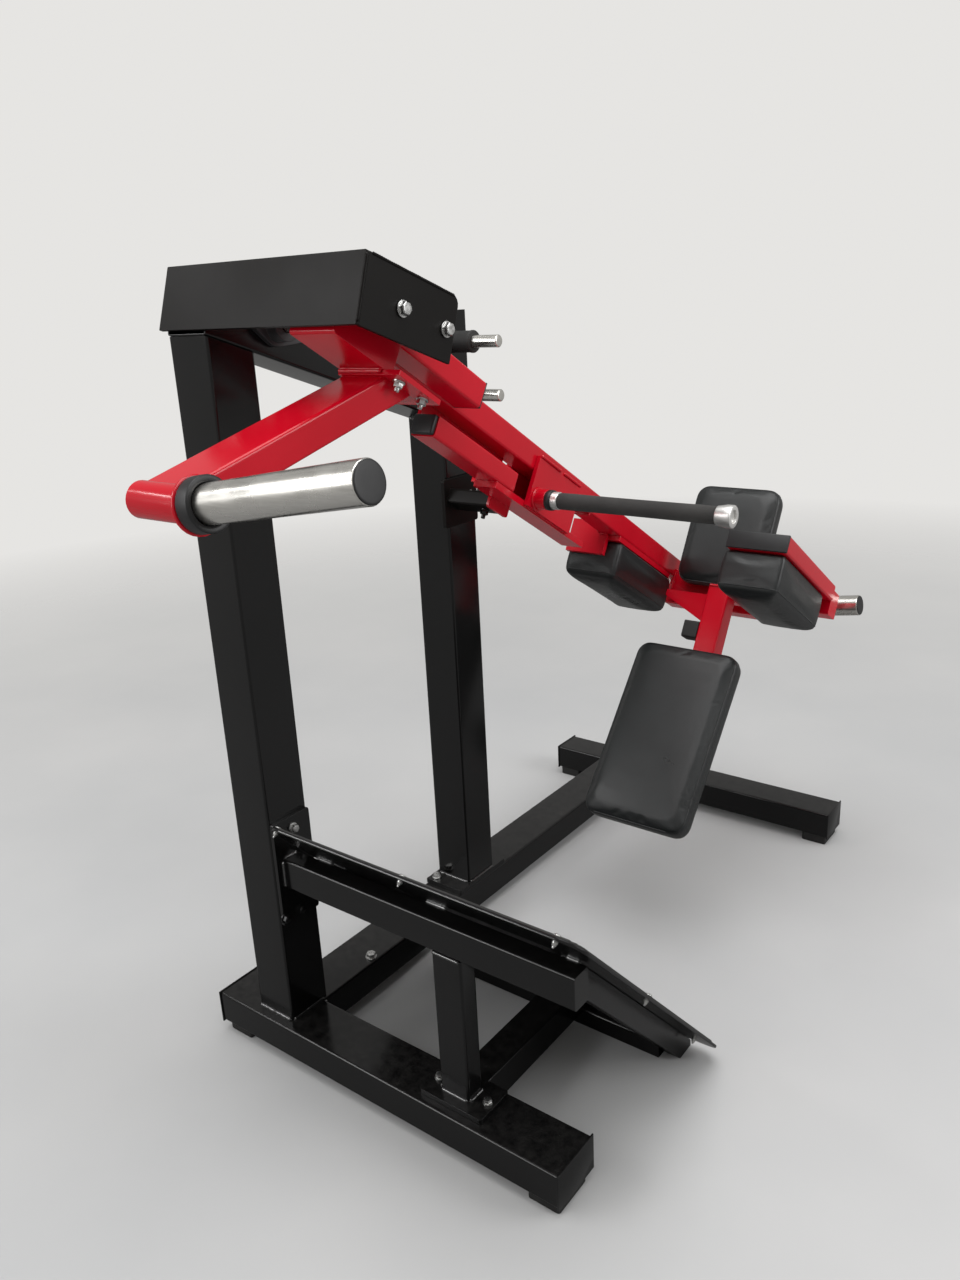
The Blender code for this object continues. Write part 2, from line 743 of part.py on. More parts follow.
def build_housing(housing, satin):
    sheet = HOUSING_SHEET
    down = (-HOUSING_HEIGHT, 0)
    box("housing_front_plate", (HOUSING_LEFT, HOUSING_RIGHT), (0, sheet), down, satin, housing, "Y")
    side_xs = (HOUSING_RIGHT - sheet, HOUSING_RIGHT)
    outline = [(sheet + GAP, -HOUSING_HEIGHT), (HOUSING_SIDE, -HOUSING_HEIGHT)]
    for step in range(CORNER_STEPS + 2):
        turn = math.radians(90 * step / (CORNER_STEPS + 1))
        u = HOUSING_SIDE - HOUSING_CORNER * (1 - math.cos(turn))
        outline.append((u, -HOUSING_CORNER * (1 - math.sin(turn))))
    outline.append((sheet + GAP, 0))
    bm = bmesh.new()
    prism(bm, "X", outline, *side_xs)
    centred("housing_side_plate", bm, satin, housing)
    top_xs = (HOUSING_LEFT, side_xs[0] - GAP)
    box("housing_top_plate", top_xs, (sheet + GAP, HOUSING_TOP), (-sheet, 0), satin, housing, "Z")


def build_bearings(housing, iron, chrome):
    inside = HOUSING_RIGHT - HOUSING_SHEET - GAP
    post_side = POST_LEFT + POST_SIDE + GAP
    for name, start, way in (("right_bearing", inside, -1), ("left_bearing", post_side, 1)):
        bm = bmesh.new()
        bearing(bm, start, way)
        centred(name, bm, iron, housing, smooth=True)
    for name, sign in (("front", -1), ("rear", 1)):
        bm = bmesh.new()
        bolt(bm, "X", (PIVOT_U + sign * FLANGE_BOLT_HALF, PIVOT_N, HOUSING_RIGHT + GAP))
        centred(name + "_bearing_bolt", bm, chrome, housing)


def build_pegs(root, chrome):
    start = POST_LEFT + POST_SIDE + GAP
    collar = SLEEVE_END - start
    length = PEG_END - start
    profile = [
        (0, 0),
        (SLEEVE_RADIUS, 0),
        (SLEEVE_RADIUS, collar - EDGE_CHAMFER),
        (SLEEVE_RADIUS - EDGE_CHAMFER, collar),
        (PEG_RADIUS, collar),
        (PEG_RADIUS, length - EDGE_CHAMFER),
        (PEG_RADIUS - EDGE_CHAMFER, length),
        (0, length),
    ]
    for name, height in zip(("lower", "upper"), PEG_HEIGHTS):
        bm = bmesh.new()
        lathe(bm, "X", (PEG_Y, height, start), profile)
        centred(name + "_band_peg", bm, chrome, root, smooth=True)


def build_stop(root, paint, rubber):
    """The bracket on the rear post and the rubber block that the arm's lug rests on."""
    slope = empty("stop_slope", root, (0, ARM_DATUM_Y, ARM_DATUM_Z), -ARM_TILT)
    start = POST_LEFT + POST_SIDE + GAP
    plate_xs = (start, start + STOP_PLATE_THICK)
    bumper_top = LUG_UNDER - GAP
    arm_top = bumper_top - BUMPER_THICK - GAP
    ss = (STOP_ARM_S - STOP_ARM_WIDTH / 2, STOP_ARM_S + STOP_ARM_WIDTH / 2)
    ns = (arm_top - STOP_ARM_HEIGHT, arm_top)
    root_x = plate_xs[1] - WELD_DEPTH
    bracket = tube("stop_bracket", "X", ss, ns, root_x, STOP_ARM_END, paint, slope, closed="end")
    plate = bmesh.new()
    plate_ys = (STOP_PLATE_FRONT, STOP_PLATE_BACK)
    block(plate, plate_xs, plate_ys, (STOP_PLATE_BOTTOM, STOP_PLATE_TOP), "X", TUBE_CORNER)
    place_new(plate, set(), slope_matrix((0, ARM_DATUM_Y, ARM_DATUM_Z), -ARM_TILT).inverted())
    weld(bracket, plate)
    vent(bracket, "X", (STOP_ARM_S, (ns[0] + ns[1]) / 2, start - STOP_PLATE_THICK), 3 * STOP_PLATE_THICK)
    bumper_xs = (BUMPER_LEFT, BUMPER_LEFT + BUMPER_WIDTH)
    bumper_ss = (STOP_ARM_S - BUMPER_LENGTH / 2, STOP_ARM_S + BUMPER_LENGTH / 2)
    bumper_ns = (bumper_top - BUMPER_THICK, bumper_top)
    box("stop_bumper", bumper_xs, bumper_ss, bumper_ns, rubber, slope, "Z", TUBE_CORNER)


def build_platform(root, paint, tread):
    top = FOOT_HEIGHT + BEAM_HEIGHT + GAP
    start = POST_LEFT + POST_SIDE + GAP
    tube_ys = (PLATFORM_TUBE_FRONT, PLATFORM_TUBE_FRONT + PLATFORM_TUBE_DEPTH)
    tube_zs = (PLATFORM_TUBE_BOTTOM, PLATFORM_TUBE_BOTTOM + PLATFORM_TUBE_HEIGHT)
    tube_start = start + CLAMP_THICK - WELD_DEPTH
    ends = (tube_start, PLATFORM_TUBE_END)
    arm = tube("platform_tube", "X", tube_ys, tube_zs, *ends, paint, root, closed="end")
    clamp = bmesh.new()
    clamp_ys = (CLAMP_FRONT, CLAMP_BACK)
    block(clamp, (start, start + CLAMP_THICK), clamp_ys, (CLAMP_BOTTOM, CLAMP_TOP), "X", TUBE_CORNER)
    weld(arm, clamp)
    middle = ((tube_ys[0] + tube_ys[1]) / 2, (tube_zs[0] + tube_zs[1]) / 2)
    vent(arm, "X", (*middle, start - CLAMP_THICK), 3 * CLAMP_THICK)
    leg_xs = (LEG_LEFT, LEG_LEFT + LEG_WIDTH)
    base_top = top + LEG_BASE_THICK
    leg = tube("platform_leg", "Z", leg_xs, tube_ys, base_top - WELD_DEPTH, tube_zs[0] - GAP, paint, root)
    base = bmesh.new()
    base_xs = (LEG_BASE_LEFT, LEG_BASE_LEFT + LEG_BASE_WIDTH)
    block(base, base_xs, (LEG_BASE_FRONT, LEG_BASE_FRONT + LEG_BASE_DEPTH), (top, base_top), "Z", TUBE_CORNER)
    weld(leg, base)
    build_struts(root, paint, tube_ys[1])
    build_foot_plate(root, paint, tread)


def plate_under(y):
    """Height of the foot plate's underside at y."""
    thick = (FOOT_PLATE_THICK + TREAD_THICK + 2 * GAP) / math.cos(FOOT_PLATE_SLOPE)
    return FOOT_PLATE_Z - (y - FOOT_PLATE_Y) * math.tan(FOOT_PLATE_SLOPE) - thick


def build_struts(root, paint, tube_back):
    beam_zs = (FOOT_HEIGHT, FOOT_HEIGHT + BEAM_HEIGHT)
    strut_xs = (STRUT_LEFT, STRUT_LEFT + STRUT_WIDTH)
    tube("base_strut", "Y", strut_xs, beam_zs, FRONT_BEAM_DEPTH + GAP, STRUT_END, paint, root)
    plate_right = FOOT_PLATE_LEFT + FOOT_PLATE_WIDTH
    lefts = (FOOT_PLATE_LEFT + RAIL_INSET, plate_right - RAIL_INSET - RAIL_WIDTH)
    cross_xs = (lefts[0] + RAIL_WIDTH + GAP, lefts[1] - GAP)
    cross_ys = (STRUT_END + GAP, STRUT_END + GAP + CROSS_DEPTH)
    cross_zs = (CROSS_BOTTOM, CROSS_BOTTOM + CROSS_HEIGHT)
    tube("lower_cross_tube", "X", cross_ys, cross_zs, *cross_xs, paint, root)
    front = tube_back + GAP
    deep = RAIL_DEPTH / math.cos(FOOT_PLATE_SLOPE)
    floor_y = front + (plate_under(front) - deep) / math.tan(FOOT_PLATE_SLOPE)
    outline = [
        (front, plate_under(front) - GAP),
        (front, plate_under(front) - deep),
        (floor_y, 0),
        (RAIL_END, 0),
        (RAIL_END, plate_under(RAIL_END) - GAP),
    ]
    for name, left in zip(("left", "right"), lefts):
        bm = bmesh.new()
        prism(bm, "X", outline, left, left + RAIL_WIDTH)
        centred(name + "_rail", bm, paint, root)


def build_foot_plate(root, paint, tread):
    middle = FOOT_PLATE_LEFT + FOOT_PLATE_WIDTH / 2
    slope = empty("foot_plate_slope", root, (middle, FOOT_PLATE_Y, FOOT_PLATE_Z), -FOOT_PLATE_SLOPE)
    half = FOOT_PLATE_WIDTH / 2
    steel_top = -TREAD_THICK - GAP
    sheets = (
        ("foot_plate", 0, (steel_top - FOOT_PLATE_THICK, steel_top), paint),
        ("tread_sheet", TREAD_INSET, (-TREAD_THICK, 0), tread),
    )
    for name, inset, zs, coat in sheets:
        bm = bmesh.new()
        across = (inset - half, half - inset)
        down = (inset, FOOT_PLATE_LENGTH - inset)
        outline = rounded(across, down, FOOT_PLATE_CORNER - inset, 2 * CORNER_STEPS)
        prism(bm, "Z", outline, *zs)
        centred(name, bm, coat, slope)


def build_hub(arm, red, chrome):
    pivot = pivot_in_arm()
    bm = bmesh.new()
    block(bm, (HUB_LEFT, HUB_RIGHT), (HUB_FRONT, HUB_BACK), (HUB_BOTTOM, ARM_TOP), "X", TUBE_CORNER)
    hub = centred("hub_box", bm, red, arm)
    bore = bmesh.new()
    long_rod = rod_profile(SHAFT_RADIUS + GAP, HUB_RIGHT - HUB_LEFT + POST_SIDE)
    lathe(bore, "X", (*pivot, HUB_LEFT - POST_SIDE / 2), long_rod)
    bmesh.ops.recalc_face_normals(bore, faces=bore.faces)
    weld(hub, bore, "DIFFERENCE")
    start = POST_LEFT + POST_SIDE + SHAFT_INSET
    end = HOUSING_RIGHT - HOUSING_SHEET - SHAFT_INSET
    rod("pivot_shaft", "X", (*pivot, start), SHAFT_RADIUS, end - start, chrome, arm)
    side_xs = (ARM_LEFT + ARM_WIDTH + GAP, HUB_RIGHT)
    front = HUB_BACK + GAP
    tube("side_box", "Y", side_xs, (SIDE_BOX_BOTTOM, ARM_TOP), front, SIDE_BOX_END, red, arm, closed="end")


def build_arm(arm, red):
    """The long tube, the brace under it and the bracket that holds the handle."""
    xs = (ARM_LEFT, ARM_LEFT + ARM_WIDTH)
    tube("main_arm", "Y", xs, (ARM_BOTTOM, ARM_TOP), HUB_BACK + GAP, ARM_END, red, arm)
    brace_ss = (BRACE_FRONT, BRACE_BACK)
    brace = tube("brace_tube", "Y", xs, (BRACE_BOTTOM, BRACE_TOP), *brace_ss, red, arm, closed="start")
    filler = bmesh.new()
    filler_ns = (BRACE_TOP - WELD_DEPTH, ARM_BOTTOM - GAP)
    block(filler, (xs[0], xs[0] + GUSSET_THICK), brace_ss, filler_ns)
    weld(brace, filler)
    keel_top = BRACE_BOTTOM - GAP
    keel_ns = (keel_top - KEEL_THICK, keel_top)
    keel = bmesh.new()
    block(keel, xs, (KEEL_FRONT, KEEL_BACK), keel_ns)
    bracket = centred("handle_bracket", keel, red, arm)
    for start in (xs[0] - GAP - GUSSET_THICK, xs[1] + GAP):
        plate = bmesh.new()
        gusset(plate, (start, start + GUSSET_THICK))
        weld(bracket, plate)
    join = bmesh.new()
    wide = (xs[0] - GUSSET_THICK / 2, xs[1] + GUSSET_THICK / 2)
    deep = (keel_ns[0] + WELD_DEPTH, keel_ns[1] - WELD_DEPTH)
    block(join, wide, (GUSSET_FRONT + WELD_DEPTH, GUSSET_BACK - WELD_DEPTH), deep)
    weld(bracket, join)
    boss = bmesh.new()
    root = xs[1] + GUSSET_THICK / 2
    ring = sleeve_profile(HANDLE_BAR_RADIUS + GAP, BOSS_RADIUS, BOSS_END - root)
    lathe(boss, "X", (HANDLE_S, HANDLE_N, root), ring, loop=True)
    weld(bracket, boss)
    lip = bmesh.new()
    lip_ns = (keel_ns[0] - LIP_DEEP, keel_ns[0] + WELD_DEPTH)
    block(lip, (xs[0] + WELD_DEPTH, xs[0] + GUSSET_THICK), (LIP_FRONT, LIP_BACK), lip_ns, "X", TUBE_CORNER)
    weld(bracket, lip)
    build_lug(xs[0] - 2 * GAP - GUSSET_THICK, red, arm)


def gusset(bm, xs):
    outline = [
        (GUSSET_FRONT + THIN_CORNER, GUSSET_TOP),
        (GUSSET_FRONT, GUSSET_BOTTOM),
        (GUSSET_BACK, GUSSET_BOTTOM),
        (GUSSET_BACK, ARM_BOTTOM),
        (GUSSET_BACK - 2 * KEEL_THICK, GUSSET_TOP),
    ]
    prism(bm, "X", outline, *xs)


def web(bm):
    """The plate that steadies the back pad's tube on its left."""
    top = CROSS_TUBE_BOTTOM - GAP
    right = SPINE_TUBE_LEFT + WELD_DEPTH
    outline = [(WEB_LEFT, top), (right, top), (right, -WEB_LONG), (WEB_LEFT, -WEB_SHORT)]
    low = [bm.verts.new((x, WEB_FRONT, n)) for x, n in outline]
    high = [bm.verts.new((x, WEB_FRONT + WEB_THICK, n)) for x, n in outline]
    bridge(bm, low, high)
    bm.faces.new(low)
    bm.faces.new(high)


def build_lug(right, red, arm):
    """The angle that lands on the stop: a plate on the left gusset with a flat foot turned out."""
    outline = [
        (right, GUSSET_TOP),
        (right, LUG_UNDER),
        (LUG_LEFT, LUG_UNDER),
        (LUG_LEFT, LUG_UNDER + LUG_THICK),
        (right - LUG_THICK, LUG_UNDER + LUG_THICK),
        (right - LUG_THICK, GUSSET_TOP),
    ]
    bm = bmesh.new()
    prism(bm, "Y", outline, LUG_FRONT, LUG_BACK)
    centred("stop_lug", bm, red, arm)


def build_counter(pendulum_rest, red, chrome, rubber):
    """The counterbalance arm, its barrel and its weight horn."""
    slope = empty("counter_slope", pendulum_rest, (0, ARM_DATUM_Y, ARM_DATUM_Z), COUNTER_TILT)
    turn = Matrix.Rotation(-COUNTER_TILT, 3, "X")
    barrel = turn @ Vector((0, BARREL_Y - ARM_DATUM_Y, BARREL_Z - ARM_DATUM_Z))
    xs = (HUB_LEFT, HUB_RIGHT)
    ns = (-COUNTER_DROP - COUNTER_HEIGHT / 2, -COUNTER_DROP + COUNTER_HEIGHT / 2)
    between = COUNTER_TILT + ARM_TILT
    under = HUB_BOTTOM - GAP - HUB_FLANGE_THICK + WELD_DEPTH

    def under_flange(u, v):
        # The end lies in the flange's underside, which is turned by the angle between the two arms.
        return (under - v * math.cos(between)) / math.sin(between)

    start = barrel.y + BARREL_RADIUS - COPE_DEPTH
    beam = tube("counter_arm", "Y", xs, ns, start, under_flange, red, slope)
    cope = bmesh.new()
    wide_rod = rod_profile(BARREL_RADIUS + GAP, BARREL_RIGHT - HUB_LEFT + POST_SIDE)
    lathe(cope, "X", (barrel.y, barrel.z, HUB_LEFT - POST_SIDE / 2), wide_rod)
    bmesh.ops.recalc_face_normals(cope, faces=cope.faces)
    weld(beam, cope, "DIFFERENCE")
    flange = bmesh.new()
    top = HUB_BOTTOM - GAP
    flange_xs = (HUB_LEFT, HUB_FLANGE_RIGHT)
    block(flange, flange_xs, (HUB_FLANGE_FRONT, HUB_FLANGE_BACK), (top - HUB_FLANGE_THICK, top))
    into_slope = slope_matrix((0, 0, 0), -COUNTER_TILT - ARM_TILT)
    place_new(flange, set(), into_slope)
    weld(beam, flange)
    barrel_long = BARREL_RIGHT - HUB_LEFT
    rod("counter_barrel", "X", (barrel.y, barrel.z, HUB_LEFT), BARREL_RADIUS, barrel_long, red, slope)
    build_horns(pendulum_rest, red, chrome, rubber)


def build_horns(rest, red, chrome, rubber):
    """The weight horn on the counterbalance barrel, and two pegs on the carrier at the arm's end."""
    front = (BARREL_RIGHT + GAP, BARREL_Y, BARREL_Z)
    horn("front_horn", front, HORN_RADIUS, HORN_LENGTH, 1, chrome, rest)
    axis = empty("front_horn_axis", rest, front, -HORN_TILT, "Y")
    for name, start, length, radius, coat in (
        ("front_disc", DISC_START, DISC_THICK, DISC_RADIUS, red),
        ("front_collar", DISC_START + DISC_THICK + GAP, COLLAR_LENGTH, COLLAR_RADIUS, rubber),
    ):
        sleeve(name, "X", (0, 0, start), HORN_RADIUS + GAP, radius, length, coat, axis)
    s = ARM_END + GAP + CARRIER_LENGTH / 2
    n = REAR_PEG_N
    y = ARM_DATUM_Y + s * math.cos(ARM_TILT) + n * math.sin(ARM_TILT)
    z = ARM_DATUM_Z - s * math.sin(ARM_TILT) + n * math.cos(ARM_TILT)
    for name, x, way in (("right", CARRIER_RIGHT + GAP, 1), ("left", ARM_LEFT - GAP, -1)):
        horn("rear_" + name + "_peg", (x, y, z), REAR_PEG_RADIUS, REAR_PEG_LENGTH, way, chrome, rest)


def horn(name, spot, radius, length, way, chrome, rest):
    """A horn or peg that rises outward, with its root cut plumb."""
    place = Matrix.Translation(spot) @ Matrix.Rotation(-way * HORN_TILT, 4, "Y")
    outline = []
    for step in range(ROUND_STEPS):
        turn = 2 * math.pi * step / ROUND_STEPS
        outline.append((radius * math.cos(turn), radius * math.sin(turn)))

    def plumb(u, v):
        return way * v * math.tan(HORN_TILT)

    bm = bmesh.new()
    shrink = 1 - EDGE_CHAMFER / radius
    small = [(u * shrink, v * shrink) for u, v in outline]
    start = ring_of(bm, "X", outline, plumb)
    near = ring_of(bm, "X", outline, way * (length - EDGE_CHAMFER))
    far = ring_of(bm, "X", small, way * length)
    bridge(bm, start, near)
    bridge(bm, near, far)
    bm.faces.new(start)
    bm.faces.new(far)
    place_new(bm, set(), place)
    centred(name, bm, chrome, rest, smooth=True)


def build_handle(arm, chrome, foam):
    """The bar through the boss, with a collar at its root, a foam grip and a flared end cap."""
    start = ARM_LEFT + ARM_WIDTH + GUSSET_THICK + 2 * GAP
    profile = [
        (0, 0),
        (HANDLE_BAR_RADIUS, 0),
        (HANDLE_BAR_RADIUS, BOSS_END + GAP - start),
        (HANDLE_RING_RADIUS, BOSS_END + GAP - start),
        (HANDLE_RING_RADIUS, HANDLE_RING_END - start),
        (HANDLE_COLLAR_RADIUS, HANDLE_RING_END - start),
        (HANDLE_COLLAR_RADIUS, HANDLE_COLLAR_END - EDGE_CHAMFER - start),
        (HANDLE_COLLAR_RADIUS - EDGE_CHAMFER, HANDLE_COLLAR_END - start),
        (HANDLE_BAR_RADIUS, HANDLE_COLLAR_END - start),
        (HANDLE_BAR_RADIUS, HANDLE_CAP_END - END_PLATE - start),
        (0, HANDLE_CAP_END - END_PLATE - start),
    ]
    bm = bmesh.new()
    lathe(bm, "X", (HANDLE_S, HANDLE_N, start), profile)
    centred("handle_bar", bm, chrome, arm, smooth=True)
    bore = HANDLE_BAR_RADIUS + GAP
    near = HANDLE_COLLAR_END + GAP
    sleeve("handle_grip", "X", (HANDLE_S, HANDLE_N, near), bore, GRIP_RADIUS, GRIP_END - near, foam, arm)
    low = GRIP_END + GAP
    length = HANDLE_CAP_END - low
    profile = [
        (bore, 0),
        (HANDLE_COLLAR_RADIUS - EDGE_CHAMFER, 0),
        (HANDLE_COLLAR_RADIUS, EDGE_CHAMFER),
        (HANDLE_COLLAR_RADIUS, CAP_FLARE_START * length),
        (HANDLE_CAP_RADIUS, CAP_FLARE_END * length),
        (HANDLE_CAP_RADIUS, length - EDGE_CHAMFER),
        (HANDLE_CAP_RADIUS - EDGE_CHAMFER, length),
        (bore, length),
    ]
    bm = bmesh.new()
    lathe(bm, "X", (HANDLE_S, HANDLE_N, low), profile, loop=True)
    centred("handle_cap", bm, chrome, arm, smooth=True)


def build_lower_end(arm, red):
    """The cross tube and the right side member."""
    near = ARM_LEFT + ARM_WIDTH + GAP
    cross_ss = (CROSS_TUBE_FRONT, CROSS_TUBE_FRONT + CROSS_TUBE_LENGTH)
    cross_ns = (CROSS_TUBE_BOTTOM, CROSS_TUBE_BOTTOM + CROSS_TUBE_HEIGHT)
    side_xs = (SIDE_MEMBER_LEFT, SIDE_MEMBER_LEFT + SIDE_MEMBER_WIDTH)
    tube("cross_tube", "X", cross_ss, cross_ns, near, side_xs[1] - TUBE_WALL, red, arm, closed="end")
    side_ns = (SIDE_MEMBER_TOP - SIDE_MEMBER_HEIGHT, SIDE_MEMBER_TOP)
    side_ss = (SIDE_MEMBER_FRONT, CROSS_TUBE_FRONT - GAP)
    tube("side_member", "Y", side_xs, side_ns, *side_ss, red, arm, closed="start")


def build_shoulder_pads(arm, red, vinyl):
    """The right pad hangs under the side member, the left one under its bracket's plate."""
    size = (SHOULDER_WIDTH, SHOULDER_LENGTH, SHOULDER_THICK)
    face_down = (math.pi, 0, 0)
    under_plate = ARM_BOTTOM - PAD_PLATE_THICK - 2 * GAP
    under_member = SIDE_MEMBER_TOP - SIDE_MEMBER_HEIGHT - GAP
    for name, x, start, top in (
        ("left", LEFT_SHOULDER_X, LEFT_SHOULDER_S, under_plate),
        ("right", RIGHT_SHOULDER_X, RIGHT_SHOULDER_S, under_member),
    ):
        spot = (x, start + SHOULDER_LENGTH / 2, top)
        cushion(name + "_shoulder_pad", size, SHOULDER_CORNER, SHOULDER_CROWN, vinyl, arm, spot, face_down)
    build_pad_bracket(arm, red)


def build_pad_bracket(arm, red):
    """An upright that fits round the arm's lower left corner, with the left pad's plate behind it."""
    under, beside = ARM_BOTTOM - GAP, ARM_LEFT - GAP
    outline = [
        (PAD_BRACKET_LEFT, PAD_BRACKET_BOTTOM),
        (PAD_BRACKET_RIGHT, PAD_BRACKET_BOTTOM),
        (PAD_BRACKET_RIGHT, under),
        (beside, under),
        (beside, PAD_BRACKET_TOP),
        (PAD_BRACKET_LEFT, PAD_BRACKET_TOP),
    ]
    bm = bmesh.new()
    prism(bm, "Y", outline, PAD_BRACKET_BACK - PAD_BRACKET_THICK, PAD_BRACKET_BACK)
    bracket = centred("left_pad_bracket", bm, red, arm)
    plate = bmesh.new()
    left = LEFT_SHOULDER_X - SHOULDER_WIDTH / 2 + BOARD_INSET
    ss = (PAD_BRACKET_BACK - WELD_DEPTH, LEFT_SHOULDER_S + SHOULDER_LENGTH - BOARD_INSET)
    block(plate, (left, ARM_LEFT + ARM_WIDTH), ss, (under - PAD_PLATE_THICK, under))
    weld(bracket, plate)


def build_head_pad(arm, board, vinyl):
    """The head pad stands square to the arm and faces its upper end."""
    back = HEAD_FACE + HEAD_THICK
    middle = HEAD_BOTTOM + HEAD_LENGTH / 2
    turn = (math.radians(90), 0, 0)
    size = (HEAD_WIDTH, HEAD_LENGTH, HEAD_THICK)
    cushion("head_pad", size, PAD_CORNER, HEAD_CROWN, vinyl, arm, (HEAD_X, back, middle), turn)
    half = HEAD_WIDTH / 2 - BOARD_INSET
    ss = (back + GAP, back + GAP + BOARD_THICK)
    ns = (HEAD_BOTTOM + BOARD_INSET, HEAD_BOTTOM + HEAD_LENGTH - BOARD_INSET)
    corner = PAD_CORNER - BOARD_INSET
    box("head_pad_board", (HEAD_X - half, HEAD_X + half), ss, ns, board, arm, "Y", corner)


def build_rear(rest, arm, coats):
    """The back pad's tube, board and pad, the rubber block and the rear horns' carrier."""
    red = coats["red_paint"]
    tube_xs = (SPINE_TUBE_LEFT, SPINE_TUBE_LEFT + SPINE_TUBE_WIDTH)
    tube_ss = (SPINE_TUBE_FRONT, SPINE_TUBE_FRONT + SPINE_TUBE_DEPTH)
    tube_ns = (SPINE_TUBE_BOTTOM, SPINE_TUBE_TOP)
    post = tube("back_pad_tube", "Z", tube_xs, tube_ss, *tube_ns, red, arm, closed="start")
    side = bmesh.new()
    web(side)
    weld(post, side)
    block_xs = (BLOCK_LEFT, SPINE_TUBE_LEFT - GAP)
    block_ss = (SPINE_TUBE_FRONT, SPINE_TUBE_FRONT + BLOCK_DEPTH)
    block_ns = (BLOCK_TOP - BLOCK_HEIGHT, BLOCK_TOP)
    box("rubber_block", block_xs, block_ss, block_ns, coats["rubber"], arm, "X", TUBE_CORNER)
    carrier_xs = (ARM_LEFT, CARRIER_RIGHT)
    carrier_ss = (ARM_END + GAP, ARM_END + GAP + CARRIER_LENGTH)
    carrier_ns = (CARRIER_TOP - CARRIER_HEIGHT, CARRIER_TOP)
    tube("rear_carrier", "X", carrier_ss, carrier_ns, *carrier_xs, red, arm, closed="both")
    slope = empty("back_pad_slope", rest, (HEAD_X, BACK_Y, BACK_Z), BACK_SLOPE)
    size = (BACK_WIDTH, BACK_LENGTH, BACK_THICK)
    cushion("back_pad", size, PAD_CORNER, BACK_CROWN, coats["vinyl"], slope, (0, 0, -BACK_THICK), (0, 0, 0))
    half_width = BACK_WIDTH / 2 - BOARD_INSET
    half_length = BACK_LENGTH / 2 - BOARD_INSET
    top = -BACK_THICK - GAP
    sides = ((-half_width, half_width), (-half_length, half_length), (top - BOARD_THICK, top))
    box("back_pad_board", *sides, coats["board"], slope, "Z", PAD_CORNER - BOARD_INSET)
    build_back_bracket(slope, top - BOARD_THICK - GAP, red)


def build_back_bracket(slope, top, red):
    """The wedge that fills the angle between the back pad's board and its tube."""
    width = SPINE_TUBE_WIDTH - 2 * TUBE_CORNER

    def into_slope(s, n):
        y = ARM_DATUM_Y + s * math.cos(ARM_TILT) + n * math.sin(ARM_TILT) - BACK_Y
        z = ARM_DATUM_Z - s * math.sin(ARM_TILT) + n * math.cos(ARM_TILT) - BACK_Z
        along = y * math.cos(BACK_SLOPE) + z * math.sin(BACK_SLOPE)
        return along, -y * math.sin(BACK_SLOPE) + z * math.cos(BACK_SLOPE)

    face = SPINE_TUBE_FRONT - GAP
    low = into_slope(face, SPINE_TUBE_BOTTOM)
    high = into_slope(face, BACK_BRACKET_TOP)
    outline = [low, high, (high[0] - GAP, top), (low[0], top)]
    left = SPINE_TUBE_LEFT + TUBE_CORNER - HEAD_X
    bm = bmesh.new()
    prism(bm, "X", outline, left, left + width)
    centred("back_pad_bracket", bm, red, slope)


def clear_scene():
    for old in list(bpy.data.objects):
        bpy.data.objects.remove(old, do_unlink=True)


def housing_point(u, n):
    """A point of the housing's slope in frame coordinates."""
    cos, sin = math.cos(TOP_TILT), math.sin(TOP_TILT)
    return HOUSING_Y + u * cos + n * sin, HOUSING_Z - u * sin + n * cos


def pivot_in_arm():
    """The pivot axis in the arm's slope."""
    y, z = housing_point(PIVOT_U, PIVOT_N)
    spot = Matrix.Rotation(ARM_TILT, 3, "X") @ Vector((0, y - ARM_DATUM_Y, z - ARM_DATUM_Z))
    return spot.y, spot.z


def build_frame(root, coats):
    paint, rubber = coats["black_paint"], coats["rubber"]
    build_base(root, paint, rubber)
    build_posts(root, paint)
    housing = empty("housing_slope", root, (0, HOUSING_Y, HOUSING_Z), -TOP_TILT)
    build_top_beam(housing, paint)
    build_housing(housing, coats["satin_paint"])
    build_bearings(housing, coats["cast_iron"], coats["chrome"])
    build_pegs(root, coats["chrome"])
    build_stop(root, paint, rubber)
    build_platform(root, paint, coats["tread"])


def build_pendulum(root, coats):
    """The swinging arm and all that it carries, under an empty on the pivot axis."""
    red, chrome = coats["red_paint"], coats["chrome"]
    y, z = housing_point(PIVOT_U, PIVOT_N)
    swing = empty("pendulum", root, (0, y, z))
    rest = empty("pendulum_rest", swing, (0, -y, -z))
    arm = empty("arm_slope", rest, (0, ARM_DATUM_Y, ARM_DATUM_Z), -ARM_TILT)
    build_hub(arm, red, chrome)
    build_arm(arm, red)
    build_counter(rest, red, chrome, coats["rubber"])
    build_handle(arm, chrome, coats["foam"])
    build_lower_end(arm, red)
    build_shoulder_pads(arm, red, coats["vinyl"])
    build_head_pad(arm, coats["board"], coats["vinyl"])
    build_rear(rest, arm, coats)


def build():
    clear_scene()
    coats = {}
    for name, colour, metallic, roughness in COATS:
        coats[name] = material(name, colour, metallic, roughness)
    root = empty("machine", None, (-CENTRE_X, -CENTRE_Y, 0))
    build_frame(root, coats)
    build_pendulum(root, coats)


build()
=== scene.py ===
"""Looks of the pendulum squat machine: paint, chrome, foam and vinyl, with its bolts, welds and sewn pads."""

import math

import bmesh
import bpy
from mathutils import Matrix, Quaternion, Vector, noise
from mathutils.bvhtree import BVHTree


